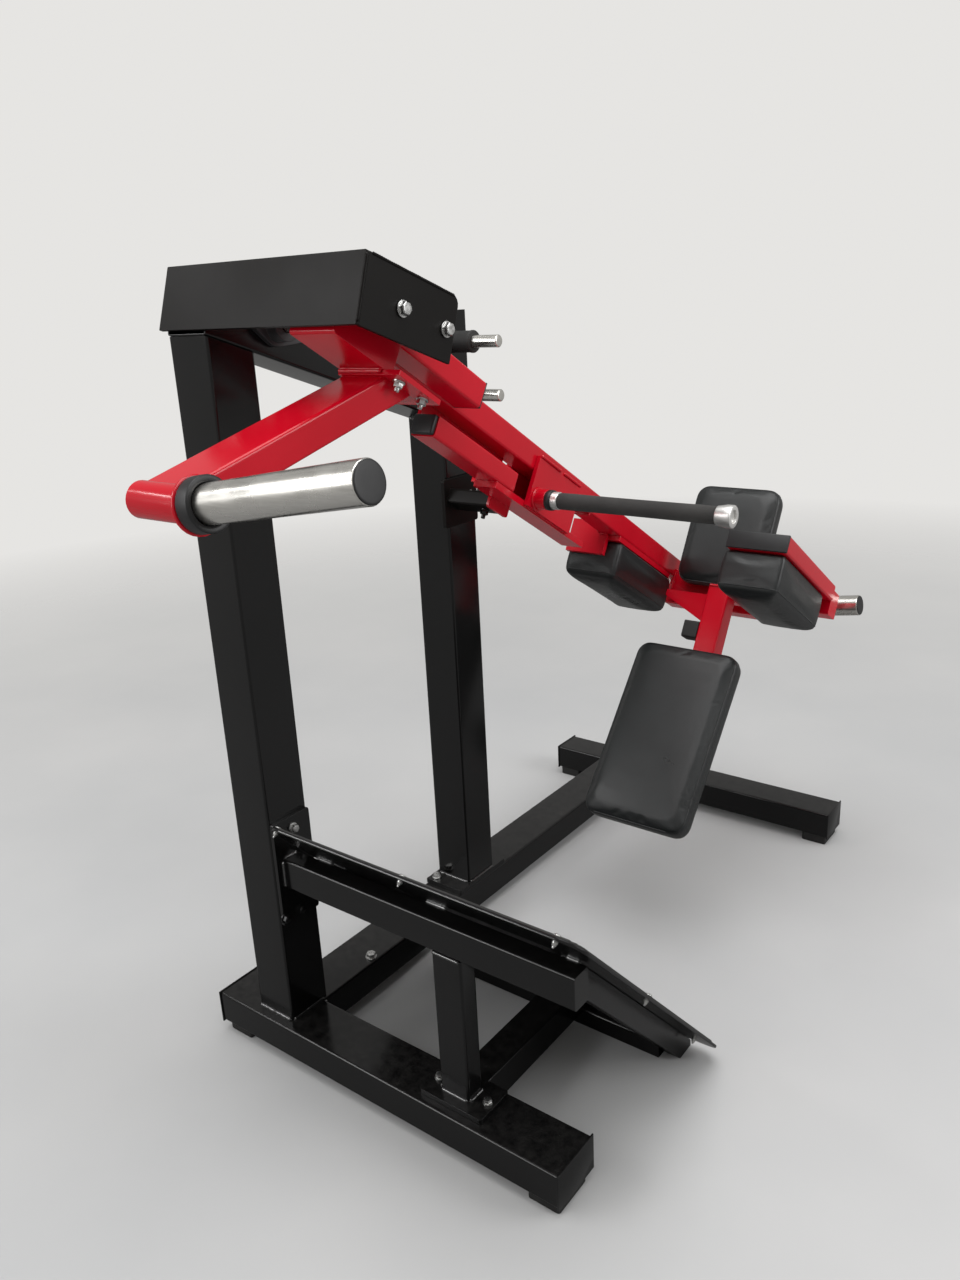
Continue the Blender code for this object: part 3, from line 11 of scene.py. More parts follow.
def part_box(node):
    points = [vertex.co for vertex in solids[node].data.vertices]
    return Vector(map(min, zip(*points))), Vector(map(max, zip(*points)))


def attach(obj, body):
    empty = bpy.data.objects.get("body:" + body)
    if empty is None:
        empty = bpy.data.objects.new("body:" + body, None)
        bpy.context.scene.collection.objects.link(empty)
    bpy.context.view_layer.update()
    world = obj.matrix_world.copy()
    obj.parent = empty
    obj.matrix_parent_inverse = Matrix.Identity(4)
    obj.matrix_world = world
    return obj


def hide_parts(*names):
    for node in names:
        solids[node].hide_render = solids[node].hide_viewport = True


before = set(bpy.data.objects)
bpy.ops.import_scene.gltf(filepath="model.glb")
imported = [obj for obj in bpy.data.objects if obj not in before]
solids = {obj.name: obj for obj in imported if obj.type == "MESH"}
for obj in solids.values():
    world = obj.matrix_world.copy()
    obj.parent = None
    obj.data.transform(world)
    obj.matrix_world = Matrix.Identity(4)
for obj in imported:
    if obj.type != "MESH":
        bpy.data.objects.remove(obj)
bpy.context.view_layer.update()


# Camera: a phone held about 1.35 m up, in front of the machine and to its right, looking slightly down.
# Points are measured from the front beam's left front corner on the floor, as the machine's own drawing does.
CORNER_X, CORNER_Y = 0.391, 0.5555
YAW, PITCH, ROLL = 0.6616, 0.3238, -0.0499
SENSOR, LENS = 36, 28.68
EYE = (1.4571, -0.9921, 1.3485)


def spot(x, y, z):
    """A point of the machine, measured from that corner."""
    return Vector((x - CORNER_X, y - CORNER_Y, z))


level = Vector((-math.sin(YAW), math.cos(YAW), 0))
aside = Vector((math.cos(YAW), math.sin(YAW), 0))
upward = Vector((0, 0, 1))
ahead = level * math.cos(PITCH) - upward * math.sin(PITCH)
tilted = level * math.sin(PITCH) + upward * math.cos(PITCH)
right = aside * math.cos(ROLL) + tilted * math.sin(ROLL)
top = tilted * math.cos(ROLL) - aside * math.sin(ROLL)
camera = bpy.data.objects.new("camera", bpy.data.cameras.new("camera"))
camera.data.sensor_width = SENSOR
camera.data.lens = LENS
facing = Matrix((right, top, -ahead)).transposed().to_4x4()
camera.matrix_world = Matrix.Translation(spot(*EYE)) @ facing
bpy.context.scene.collection.objects.link(camera)
bpy.context.scene.camera = camera
bpy.context.scene.view_settings.view_transform = "Standard"


# Studio: a plain pale grey floor of painted concrete, an even pale surround, and four soft lamps.
# The floor is matt with faint trowel patches, and fades into the surround. In reflections both are darker,
# as a furnished room is, so that the black gloss stays black.
def place(tree, kind, settings=None, **sockets):
    """Adds a shader node. A socket takes a value, or another node's output to link."""
    made = tree.nodes.new(kind)
    for key, value in (settings or {}).items():
        setattr(made, key, value)
    for label, value in sockets.items():
        socket = made.inputs[label.replace("_", " ")]
        if isinstance(value, bpy.types.NodeSocket):
            tree.links.new(value, socket)
        else:
            socket.default_value = value
    return made


def mixed(tree, share, one, two):
    """Mixes two colours by a share, each a value or an output."""
    made = tree.nodes.new("ShaderNodeMix")
    made.data_type = "RGBA"
    for index, value in ((0, share), (6, one), (7, two)):
        if isinstance(value, bpy.types.NodeSocket):
            tree.links.new(value, made.inputs[index])
        else:
            made.inputs[index].default_value = value if index == 0 else (*value, 1)
    return made.outputs[2]


def ranged(tree, value, low, high, start=0.0, end=1.0):
    """Maps an output from low..high to start..end."""
    sockets = {"Value": value, "From_Min": low, "From_Max": high, "To_Min": start, "To_Max": end}
    return place(tree, "ShaderNodeMapRange", **sockets).outputs["Result"]


def new_finish(name, **sockets):
    """A material with a Principled shader, returned with its tree and shader."""
    made = bpy.data.materials.new(name)
    made.use_nodes = True
    shader = made.node_tree.nodes["Principled BSDF"]
    for label, value in sockets.items():
        shader.inputs[label.replace("_", " ")].default_value = value
    return made, made.node_tree, shader


def make_piece(name, bm, material, body=None, crease=35):
    """Turns a bmesh into a finished piece that rides on a body."""
    bmesh.ops.remove_doubles(bm, verts=bm.verts, dist=1e-6)
    bmesh.ops.recalc_face_normals(bm, faces=bm.faces)
    mesh = bpy.data.meshes.new(name)
    bm.to_mesh(mesh)
    bm.free()
    mesh.shade_smooth()
    mesh.set_sharp_from_angle(angle=math.radians(crease))
    mesh.materials.append(material)
    piece = bpy.data.objects.new(name, mesh)
    bpy.context.scene.collection.objects.link(piece)
    if body:
        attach(piece, body)
    return piece


FLOOR_HALF, FADE_START, FADE_END = 30, 1.5, 5.2
concrete, tree, shader = new_finish("pale_concrete", Roughness=0.75)
where = place(tree, "ShaderNodeTexCoord").outputs["Object"]
trowel = place(tree, "ShaderNodeTexNoise", Vector=where, Scale=1.3, Detail=6.0).outputs["Fac"]
tint = mixed(tree, ranged(tree, trowel, 0.3, 0.7), (0.50, 0.505, 0.51), (0.56, 0.56, 0.56))
mirrored = place(tree, "ShaderNodeLightPath").outputs["Is Glossy Ray"]
tree.links.new(mixed(tree, mirrored, tint, (0.20, 0.20, 0.20)), shader.inputs["Base Color"])
away = place(tree, "ShaderNodeVectorMath", {"operation": "LENGTH"})
tree.links.new(where, away.inputs[0])
fade = ranged(tree, away.outputs["Value"], FADE_START, FADE_END, 1.0, 0.0)
tree.links.new(fade, shader.inputs["Alpha"])
bm = bmesh.new()
bmesh.ops.create_grid(bm, x_segments=2, y_segments=2, size=FLOOR_HALF)
floor = make_piece("floor", bm, concrete)

ROOM_LIGHT, MIRRORED_ROOM, SEEN_ROOM = 0.50, 0.40, 0.92
world = bpy.data.worlds.new("surround")
bpy.context.scene.world = world
world.use_nodes = True
tree = world.node_tree
seen = place(tree, "ShaderNodeLightPath")
wall = tree.nodes["Background"]
wall.inputs["Color"].default_value = (0.86, 0.85, 0.83, 1)
brightness = place(tree, "ShaderNodeValue").outputs[0]
brightness.default_value = ROOM_LIGHT
for ray, strength in (
    ("Is Glossy Ray", MIRRORED_ROOM), ("Is Transmission Ray", SEEN_ROOM), ("Is Camera Ray", SEEN_ROOM)
):
    chosen = place(tree, "ShaderNodeMix")
    tree.links.new(seen.outputs[ray], chosen.inputs[0])
    tree.links.new(brightness, chosen.inputs[2])
    chosen.inputs[3].default_value = strength
    brightness = chosen.outputs[0]
tree.links.new(brightness, wall.inputs["Strength"])


def lamp(name, at, target, size, power):
    """A rectangular soft lamp that points at a target."""
    made = bpy.data.objects.new(name, bpy.data.lights.new(name, "AREA"))
    made.data.shape = "RECTANGLE"
    made.data.size, made.data.size_y = size
    made.data.energy = power
    made.location = at
    made.rotation_mode = "QUATERNION"
    made.rotation_quaternion = (Vector(target) - Vector(at)).to_track_quat("-Z", "Y")
    bpy.context.scene.collection.objects.link(made)


lamp("ceiling_lamp", (0.3, -0.4, 4.2), (0, 0, 0.6), (3.2, 3.2), 110)
lamp("window_lamp", (4.2, 1.6, 2.6), (0, 0, 0.8), (2.4, 2.8), 90)
lamp("front_lamp", (-2.2, -4.0, 2.4), (0, 0, 0.7), (2.4, 2.0), 52)
lamp("strip_lamp", (-2.7, -2.9, 3.2), (0, 0, 0.5), (2.2, 0.30), 28)


# Floor frame: front and rear beams and the spine between them, rectangular steel tube in gloss black.
# The powder coat has a slight orange-peel skin, and fine dust settles on faces that look up near the floor.
# A thin plate is welded over each end of the beams.
def effect(name, takes, gives):
    """An empty shader node group with these input and output sockets, and its two end nodes."""
    group = bpy.data.node_groups.new(name, "ShaderNodeTree")
    for label, kind, value in takes:
        socket = group.interface.new_socket(label, in_out="INPUT", socket_type="NodeSocket" + kind)
        socket.default_value = value
    for label, kind in gives:
        group.interface.new_socket(label, in_out="OUTPUT", socket_type="NodeSocket" + kind)
    return group, group.nodes.new("NodeGroupInput"), group.nodes.new("NodeGroupOutput")


def using(tree, group, **sockets):
    """Places a node group and returns its outputs."""
    return place(tree, "ShaderNodeGroup", {"node_tree": group}, **sockets).outputs


paint_skin, takes, gives = effect(
    "paint_skin",
    [("Peel", "Float", 420.0), ("Cloud", "Float", 4.0)],
    [("Height", "Float"), ("Patch", "Float")],
)
where = place(paint_skin, "ShaderNodeTexCoord").outputs["Object"]
peel = place(paint_skin, "ShaderNodeTexNoise", Vector=where, Scale=takes.outputs["Peel"], Detail=2.0)
cloud = place(paint_skin, "ShaderNodeTexNoise", Vector=where, Scale=takes.outputs["Cloud"], Detail=5.0)
paint_skin.links.new(peel.outputs["Fac"], gives.inputs["Height"])
paint_skin.links.new(ranged(paint_skin, cloud.outputs["Fac"], 0.32, 0.68), gives.inputs["Patch"])

floor_dust, takes, gives = effect(
    "floor_dust", [("Amount", "Float", 0.3), ("Reach", "Float", 0.5)], [("Mask", "Float")]
)
facing_up = place(floor_dust, "ShaderNodeNewGeometry").outputs["Normal"]
rise = place(floor_dust, "ShaderNodeSeparateXYZ", Vector=facing_up).outputs["Z"]
where = place(floor_dust, "ShaderNodeTexCoord").outputs["Object"]
height = place(floor_dust, "ShaderNodeSeparateXYZ", Vector=where).outputs["Z"]
low_down = ranged(floor_dust, height, 0.0, takes.outputs["Reach"], 1.0, 0.25)
specks = place(floor_dust, "ShaderNodeTexNoise", Vector=where, Scale=60.0, Detail=8.0, Roughness=0.7)
drifts = place(floor_dust, "ShaderNodeTexNoise", Vector=where, Scale=6.0, Detail=4.0)
sprinkled = ranged(floor_dust, specks.outputs["Fac"], 0.35, 0.75)
blown = ranged(floor_dust, drifts.outputs["Fac"], 0.25, 0.7, 0.4, 1.0)
mask = ranged(floor_dust, rise, 0.55, 0.95)
for factor in (low_down, sprinkled, blown, takes.outputs["Amount"]):
    product = place(floor_dust, "ShaderNodeMath", {"operation": "MULTIPLY"})
    floor_dust.links.new(mask, product.inputs[0])
    floor_dust.links.new(factor, product.inputs[1])
    mask = product.outputs[0]
floor_dust.links.new(mask, gives.inputs["Mask"])


def paint(name, colour, deep, roughness, coat, dust, bump=0.12, peel=420.0, shine=0.5):
    """A powder coat: its colour drifts a little, its skin is pebbled, and dust dulls what looks up."""
    made, tree, shader = new_finish(
        name, Coat_Weight=coat, Coat_Roughness=0.06, Specular_IOR_Level=shine
    )
    skin = using(tree, paint_skin, Peel=peel)
    dusty = using(tree, floor_dust, Amount=dust)["Mask"]
    coloured = mixed(tree, skin["Patch"], deep, colour)
    tree.links.new(mixed(tree, dusty, coloured, (0.22, 0.21, 0.20)), shader.inputs["Base Color"])
    gloss = ranged(tree, skin["Patch"], 0, 1, roughness * 0.85, roughness * 1.15)
    dulled = place(tree, "ShaderNodeMath", {"operation": "MULTIPLY_ADD"})
    tree.links.new(dusty, dulled.inputs[0])
    dulled.inputs[1].default_value = 0.5
    tree.links.new(gloss, dulled.inputs[2])
    tree.links.new(dulled.outputs[0], shader.inputs["Roughness"])
    pebbled = place(tree, "ShaderNodeBump", Strength=bump, Distance=0.0004, Height=skin["Height"])
    tree.links.new(pebbled.outputs["Normal"], shader.inputs["Normal"])
    return made


def dress(names, material, edge=0.0009, angle=50):
    """Gives these solids a finish, and rounds their sharp edges as a coat of paint or a file does."""
    for name in names.split():
        solid = solids[name]
        solid.data.materials.clear()
        solid.data.materials.append(material)
        solid.data.shade_smooth()
        joined = solid.modifiers.new("joined", "WELD")
        joined.merge_threshold = 0.00002
        if edge:
            eased = solid.modifiers.new("eased", "BEVEL")
            eased.limit_method = "ANGLE"
            eased.angle_limit = math.radians(angle)
            eased.width = edge
            eased.segments = 2
            eased.harden_normals = False
        solid.modifiers.new("shaded", "WEIGHTED_NORMAL")


black_gloss = paint(
    "black_gloss", (0.0050, 0.0048, 0.0050), (0.0036, 0.0036, 0.0036), 0.17, 0.0, 0.10, shine=0.42
)
dress("front_beam rear_beam spine", black_gloss)


def ease(bm, edges, width, steps=2):
    """Rounds these edges of a new piece."""
    bmesh.ops.bevel(bm, geom=edges, offset=width, segments=steps, profile=0.5, affect="EDGES", material=-1)


END_THICK, END_TALL, END_MIDDLE = 0.003, 0.068, 0.0540
FRONT_ENDS = (0.050, 0.105, (0.7816, -0.0016))
REAR_ENDS = (1.3485, 0.094, (0.7386, -0.0576))
bm = bmesh.new()
for y, deep, xs in (FRONT_ENDS, REAR_ENDS):
    for x in xs:
        stand = Matrix.Translation(spot(x, y, END_MIDDLE)) @ Matrix.Diagonal((END_THICK, deep, END_TALL, 1))
        bmesh.ops.create_cube(bm, size=1, matrix=stand)
ease(bm, list(bm.edges), 0.001)
make_piece("beam_end_plates", bm, black_gloss, "frame")

moulded_rubber, tree, shader = new_finish("moulded_rubber", Roughness=0.7)
skin = using(tree, paint_skin, Peel=900.0, Cloud=25.0)
tint = mixed(tree, skin["Patch"], (0.012, 0.012, 0.012), (0.024, 0.023, 0.022))
tree.links.new(tint, shader.inputs["Base Color"])
pitted = place(tree, "ShaderNodeBump", Strength=0.35, Distance=0.0006, Height=skin["Height"])
tree.links.new(pitted.outputs["Normal"], shader.inputs["Normal"])
dress("front_left_foot front_right_foot rear_left_foot rear_right_foot", moulded_rubber, 0.0015)


# Posts and top beam: square steel tube in the same gloss black. The front post is welded to the front beam.
# The rear post stands on a bolted base plate, and the sloping top beam ties the two together.
dress("front_post rear_post top_beam", black_gloss)

zinc, tree, shader = new_finish("zinc_plate", Metallic=1.0)
skin = using(tree, paint_skin, Peel=300.0, Cloud=140.0)
tint = mixed(tree, skin["Patch"], (0.50, 0.50, 0.49), (0.66, 0.66, 0.65))
tree.links.new(tint, shader.inputs["Base Color"])
tree.links.new(ranged(tree, skin["Patch"], 0, 1, 0.22, 0.36), shader.inputs["Roughness"])
worn = place(tree, "ShaderNodeBump", Strength=0.15, Distance=0.0003, Height=skin["Height"])
tree.links.new(worn.outputs["Normal"], shader.inputs["Normal"])


def screwed(bm, seat, outward, flats=0.017, head=0.0075, washer=0.0115, stub=0.0, turn=0.0):
    """A washer with a hexagon head or nut on it, and the end of its thread where that stands out."""
    stand = Matrix.Translation(seat) @ Vector(outward).to_track_quat("Z", "Y").to_matrix().to_4x4()
    thick = 0.0022
    rounds = [(40, washer, 0, thick, 0.0005), (6, flats / math.sqrt(3), thick, head, 0.0011)]
    if stub:
        rounds.append((20, flats * 0.3, thick + head, stub, 0.0010))
    for sides, radius, start, tall, rim in rounds:
        raised = stand @ Matrix.Translation((0, 0, start + tall / 2)) @ Matrix.Rotation(turn, 4, "Z")
        made = bmesh.ops.create_cone(
            bm, cap_ends=True, segments=sides, radius1=radius, radius2=radius, depth=tall, matrix=raised
        )
        outer = stand @ Vector((0, 0, start + tall))
        normal = Vector(outward).normalized()
        outermost = {vert for vert in made["verts"] if abs((vert.co - outer).dot(normal)) < 1e-5}
        edges = {edge for vert in made["verts"] for edge in vert.link_edges}
        top_edges = [edge for edge in edges if set(edge.verts) <= outermost]
        ease(bm, top_edges, rim)


BEAM_TOP, BASE_TOP = 0.0862, 0.0965
bm = bmesh.new()
screwed(bm, spot(0.170, 0.248, BEAM_TOP), (0, 0, 1), turn=0.4)
for y in (0.542, 0.676):
    screwed(bm, spot(0.103, y, BASE_TOP), (0, 0, 1), flats=0.015, washer=0.0100, turn=y * 9)
make_piece("base_bolts", bm, zinc, "frame")


# Welds of the frame: hand-laid beads with close ripples, painted over with the tubes.
# Each bead is a rounded strip in the corner between two tubes, a little thicker at every ripple.
def sweep(bm, path, radii, sides=8):
    """Draws a round section along a path, with a radius for each point, and closes both ends."""
    heading = Vector((0, 0, 1))
    turn = Quaternion()
    stands = []
    for index, point in enumerate(path):
        along = (path[min(index + 1, len(path) - 1)] - path[max(index - 1, 0)]).normalized()
        turn = heading.rotation_difference(along) @ turn
        heading = along
        stands.append(Matrix.Translation(point) @ turn.to_matrix().to_4x4() @ Matrix.Scale(radii[index], 4))
    ring = bmesh.ops.create_circle(bm, segments=sides, radius=1, matrix=stands[0])["verts"]
    edges = list({edge for vert in ring for edge in vert.link_edges})
    ends = list(edges)
    for before, after in zip(stands, stands[1:]):
        grown = bmesh.ops.extrude_edge_only(bm, edges=edges)["geom"]
        ring = [item for item in grown if isinstance(item, bmesh.types.BMVert)]
        grown = [item for item in grown if isinstance(item, bmesh.types.BMEdge)]
        edges = [edge for edge in grown if set(edge.verts) <= set(ring)]
        bmesh.ops.transform(bm, matrix=after @ before.inverted(), verts=ring)
    bmesh.ops.holes_fill(bm, edges=ends + edges)


def bead(bm, *corners, radius=0.0034, ripple=0.0042):
    """A rippled weld bead along straight runs between these points."""
    path = []
    for start, end in zip(corners, corners[1:]):
        count = max(2, round((end - start).length / ripple * 2))
        path += [start.lerp(end, step / count) for step in range(count)]
    path.append(corners[-1])
    uneven = [0.85 + 0.28 * (index % 2) + 0.14 * noise.noise(point * 90) for index, point in enumerate(path)]
    uneven[0] = uneven[-1] = 0.45
    sweep(bm, path, [radius * share for share in uneven])


def round_bead(bm, centre, axis, around, radius=0.003, ripple=0.004):
    """A rippled weld bead round a bar."""
    axis = Vector(axis).normalized()
    out = axis.orthogonal().normalized() * around
    steps = max(16, round(math.tau * around / ripple) * 2)
    path = [centre + Quaternion(axis, math.tau * step / steps) @ out for step in range(steps + 1)]
    sweep(bm, path, [radius * (0.9 + 0.18 * (step % 2)) for step in range(steps + 1)])


FRAME_BEADS = (
    ((0.088, 0.101, 0.086), (0.184, 0.101, 0.086)),
    ((0.187, 0.101, 0.084), (0.187, 0.101, 0.026)),
    ((0.085, 0.101, 0.084), (0.085, 0.101, 0.026)),
    ((0.088, 1.303, 0.086), (0.184, 1.303, 0.086)),
    ((0.187, 1.303, 0.084), (0.187, 1.303, 0.026)),
    ((0.085, 1.303, 0.084), (0.085, 1.303, 0.026)),
    ((0.094, 0.0215, 0.087), (0.178, 0.0215, 0.087)),
    ((0.1815, 0.025, 0.087), (0.1815, 0.098, 0.087)),
    ((0.0905, 0.025, 0.087), (0.0905, 0.098, 0.087)),
    ((0.096, 0.5635, 0.097), (0.176, 0.5635, 0.097)),
    ((0.1815, 0.568, 0.097), (0.1815, 0.650, 0.097)),
    ((0.0905, 0.568, 0.097), (0.0905, 0.650, 0.097)),
    ((0.096, 0.6545, 0.097), (0.176, 0.6545, 0.097)),
    ((0.096, 0.1125, 1.283), (0.176, 0.1125, 1.283)),
    ((0.096, 0.5630, 1.128), (0.176, 0.5630, 1.128)),
    ((0.096, 0.5630, 1.224), (0.176, 0.5630, 1.224)),
    ((0.1895, 0.041, 0.424), (0.1895, 0.070, 0.424)),
    ((0.1895, 0.037, 0.420), (0.1895, 0.037, 0.370)),
    ((0.1895, 0.041, 0.366), (0.1895, 0.070, 0.366)),
)
bm = bmesh.new()
for start, end in FRAME_BEADS:
    bead(bm, spot(*start), spot(*end))
# The beads' colour is painted a little lighter than the tubes', as a painted highlight for the light that
# catches every ripple.
weld_black = paint(
    "weld_black", (0.040, 0.040, 0.040), (0.012, 0.012, 0.012), 0.10, 1.0, 0.0, 0.4, 260.0, 0.8
)
make_piece("frame_welds", bm, weld_black, "frame", crease=60)


# Pivot housing: three steel plates, welded together over the pivot, in a dark satin coat.
# Beads run down its front corner and back along its top edge, and two hexagon bolts hold the outer bearing.
satin_grey = paint(
    "satin_grey", (0.0085, 0.0074, 0.0068), (0.0060, 0.0053, 0.0048), 0.42, 0.0, 0.02, 0.15, 700.0, 0.12
)
dress("housing_front_plate housing_side_plate housing_top_plate", satin_grey, 0.0008)
dress("front_bearing_bolt rear_bearing_bolt", zinc, 0.0005)
HOUSING_TILT = math.radians(19)
HOUSING_FRONT, HOUSING_TOP = 0.048, 1.415


def on_housing(x, u, n):
    """A point on the housing: u runs back along its slope from the top front edge, n square to it."""
    y = HOUSING_FRONT + u * math.cos(HOUSING_TILT) + n * math.sin(HOUSING_TILT)
    return spot(x, y, HOUSING_TOP - u * math.sin(HOUSING_TILT) + n * math.cos(HOUSING_TILT))


bm = bmesh.new()
bead(bm, *[on_housing(0.4945, 0.001, n) for n in (-0.004, -0.0935)], radius=0.0026, ripple=0.005)
bead(bm, on_housing(0.4925, 0.012, -0.001), on_housing(0.4925, 0.190, -0.001), radius=0.0022)
make_piece("housing_welds", bm, satin_grey, "frame", crease=60)


# Bearings and pivot shaft: cast two-bolt flange units with a ground steel shaft that turns with the arm.
# The castings are a rough dark grey, and the shaft is drawn smooth, with faint streaks along it.
cast_grey = paint("cast_grey", (0.035, 0.036, 0.038), (0.022, 0.022, 0.024), 0.5, 0.1, 0.1, 0.6, 260.0)
dress("left_bearing right_bearing", cast_grey, 0.0012)


def turned(bm, profile, centre, axis, steps=48):
    """Spins a profile of (distance along the axis, radius) pairs about the axis."""
    axis = Vector(axis).normalized()
    out = axis.orthogonal().normalized()
    points = [bm.verts.new(centre + axis * along + out * radius) for along, radius in profile]
    edges = [bm.edges.new(pair) for pair in zip(points, points[1:])]
    bmesh.ops.spin(
        bm, geom=points + edges, cent=centre, axis=axis, angle=math.tau, steps=steps, use_merge=True
    )
    bmesh.ops.remove_doubles(bm, verts=bm.verts, dist=1e-6)


def streaked(name, colour, low, high, stretch):
    """Polished metal with faint streaks that run the way it was ground."""
    made, tree, shader = new_finish(name, Metallic=1.0)
    grain = using(tree, ground_marks, Stretch=stretch)
    darker = tuple(0.86 * share for share in colour)
    tree.links.new(mixed(tree, grain["Streak"], darker, colour), shader.inputs["Base Color"])
    tree.links.new(ranged(tree, grain["Smudge"], 0, 1, low, high), shader.inputs["Roughness"])
    cut = place(tree, "ShaderNodeBump", Strength=0.06, Distance=0.0002, Height=grain["Streak"])
    tree.links.new(cut.outputs["Normal"], shader.inputs["Normal"])
    return made


ground_marks, takes, gives = effect(
    "ground_marks", [("Stretch", "Vector", (4, 500, 500))], [("Streak", "Float"), ("Smudge", "Float")]
)
where = place(ground_marks, "ShaderNodeTexCoord").outputs["Object"]
drawn = place(ground_marks, "ShaderNodeMapping", Vector=where, Scale=takes.outputs["Stretch"])
along = drawn.outputs["Vector"]
streak = place(ground_marks, "ShaderNodeTexNoise", Vector=along, Scale=1.0, Detail=3.0).outputs["Fac"]
smudge = place(ground_marks, "ShaderNodeTexNoise", Vector=where, Scale=22.0, Detail=5.0).outputs["Fac"]
ground_marks.links.new(ranged(ground_marks, streak, 0.3, 0.7), gives.inputs["Streak"])
ground_marks.links.new(ranged(ground_marks, smudge, 0.35, 0.7), gives.inputs["Smudge"])
chrome = streaked("drawn_chrome", (0.90, 0.88, 0.83), 0.22, 0.36, (5, 420, 420))
dress("pivot_shaft", chrome, 0)


# Band pegs: two chromed steel rods on the rear post, each in a black rubber sleeve with a rolled lip.
# The rods' ends are chamfered, and each sleeve is pushed up against the post.
dress("lower_band_peg upper_band_peg", chrome, 0.0004)
for name in ("lower_band_peg", "upper_band_peg"):
    low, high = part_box(name)
    centre = Vector((low.x, (low.y + high.y) / 2, (low.z + high.z) / 2))
    profile = [(0.0005, 0.0125), (0.0005, 0.0195), (0.002, 0.0206), (0.0045, 0.0206), (0.006, 0.0202)]
    profile += [(0.048, 0.0202), (0.0495, 0.0210), (0.053, 0.0210), (0.0545, 0.0200), (0.0550, 0.0180)]
    profile += [(0.0555, 0.0120)]
    bm = bmesh.new()
    turned(bm, profile, centre, (1, 0, 0))
    make_piece(name.replace("band_peg", "peg_sleeve"), bm, moulded_rubber, "frame", crease=50)


# Stop: a bracket bolted to the rear post holds a rubber bumper under the arm's lug, where the arm rests.
# A bolt through the bracket holds the bumper, and its nut shows below.
dress("stop_bracket", satin_grey)
dress("stop_bumper", moulded_rubber, 0.0015)
bm = bmesh.new()
screwed(bm, spot(0.1894, 0.627, 0.973), (1, 0, 0), flats=0.011, head=0.006, washer=0.0075)
make_piece("stop_bolts", bm, zinc, "frame")
bm = bmesh.new()
screwed(bm, spot(0.268, 0.5716, 0.9558), (0, -0.5135, -0.8581), flats=0.014, washer=0.0095, stub=0.008)
make_piece("stop_nut", bm, black_gloss, "frame")


# Foot platform's frame: a tube on a plate that is bolted to the front post, and on a leg with a bolted foot.
# Short stitches of weld hold the sloping plate to the tube.
dress("platform_tube platform_leg base_strut lower_cross_tube left_rail right_rail", black_gloss)
bm = bmesh.new()
screwed(bm, spot(0.189, 0.069, 0.473), (1, 0, 0), flats=0.013, washer=0.0095, turn=0.2)
for x, turn in ((0.509, 0.3), (0.611, 0.8)):
    screwed(bm, spot(x, 0.054, BASE_TOP), (0, 0, 1), flats=0.012, washer=0.0085, head=0.006, turn=turn)
make_piece("platform_bolts", bm, zinc, "frame")
bm = bmesh.new()
for y, z, turn in ((0.081, 0.436, 0.6), (0.027, 0.310, 0.5), (0.063, 0.310, 0.1)):
    screwed(bm, spot(0.189, y, z), (1, 0, 0), flats=0.013, washer=0.0095, turn=turn)
make_piece("painted_bolts", bm, black_gloss, "frame")

SLOPE = math.radians(46.6)
PLATE_TOP_Y, PLATE_TOP_Z = -0.0126, 0.5298


def on_plate(x, down, above=0.0):
    """A point on the foot plate: so far down from its top edge, and so far above its upper face."""
    y = PLATE_TOP_Y + down * math.cos(SLOPE) + above * math.sin(SLOPE)
    return spot(x, y, PLATE_TOP_Z - down * math.sin(SLOPE) + above * math.cos(SLOPE))


plate_normal = Vector((0, math.sin(SLOPE), math.cos(SLOPE)))
bm = bmesh.new()
for x, long in ((0.262, 0.034), (0.511, 0.044), (0.770, 0.026)):
    bead(bm, spot(x - long / 2, 0.0740, 0.4246), spot(x + long / 2, 0.0740, 0.4246), radius=0.0032)
for x in (0.5245, 0.5855):
    bead(bm, spot(x, 0.039, BASE_TOP), spot(x, 0.073, BASE_TOP))
bead(bm, spot(0.528, 0.0365, BASE_TOP), spot(0.582, 0.0365, BASE_TOP), radius=0.003)
bead(bm, spot(0.528, 0.0365, 0.3655), spot(0.582, 0.0365, 0.3655), radius=0.0026)
make_piece("platform_welds", bm, weld_black, "frame", crease=60)


# Foot plate: a steel plate in gloss black with rounded corners, under a rubber tread with ribs across it.
# Domed bolts pass through both, with their nuts and washers under the plate.
dress("foot_plate", black_gloss, 0.0010)
ribbed_rubber, tree, shader = new_finish("ribbed_rubber", Roughness=0.62)
where = place(tree, "ShaderNodeTexCoord").outputs["Object"]
laid = place(tree, "ShaderNodeMapping", Vector=where, Rotation=(SLOPE, 0, 0)).outputs["Vector"]
patches = place(tree, "ShaderNodeTexNoise", Vector=laid, Scale=9.0, Detail=4.0).outputs["Fac"]
skin = using(tree, paint_skin, Peel=800.0, Cloud=12.0)
tint = mixed(tree, ranged(tree, patches, 0.2, 0.8), (0.010, 0.010, 0.010), (0.030, 0.030, 0.029))
dusty = using(tree, floor_dust, Amount=0.5, Reach=0.9)["Mask"]
tree.links.new(mixed(tree, dusty, tint, (0.16, 0.155, 0.15)), shader.inputs["Base Color"])
pitted = place(tree, "ShaderNodeBump", Strength=0.3, Distance=0.0004, Height=skin["Height"])
tree.links.new(pitted.outputs["Normal"], shader.inputs["Normal"])
dress("tread_sheet", ribbed_rubber, 0.0008)

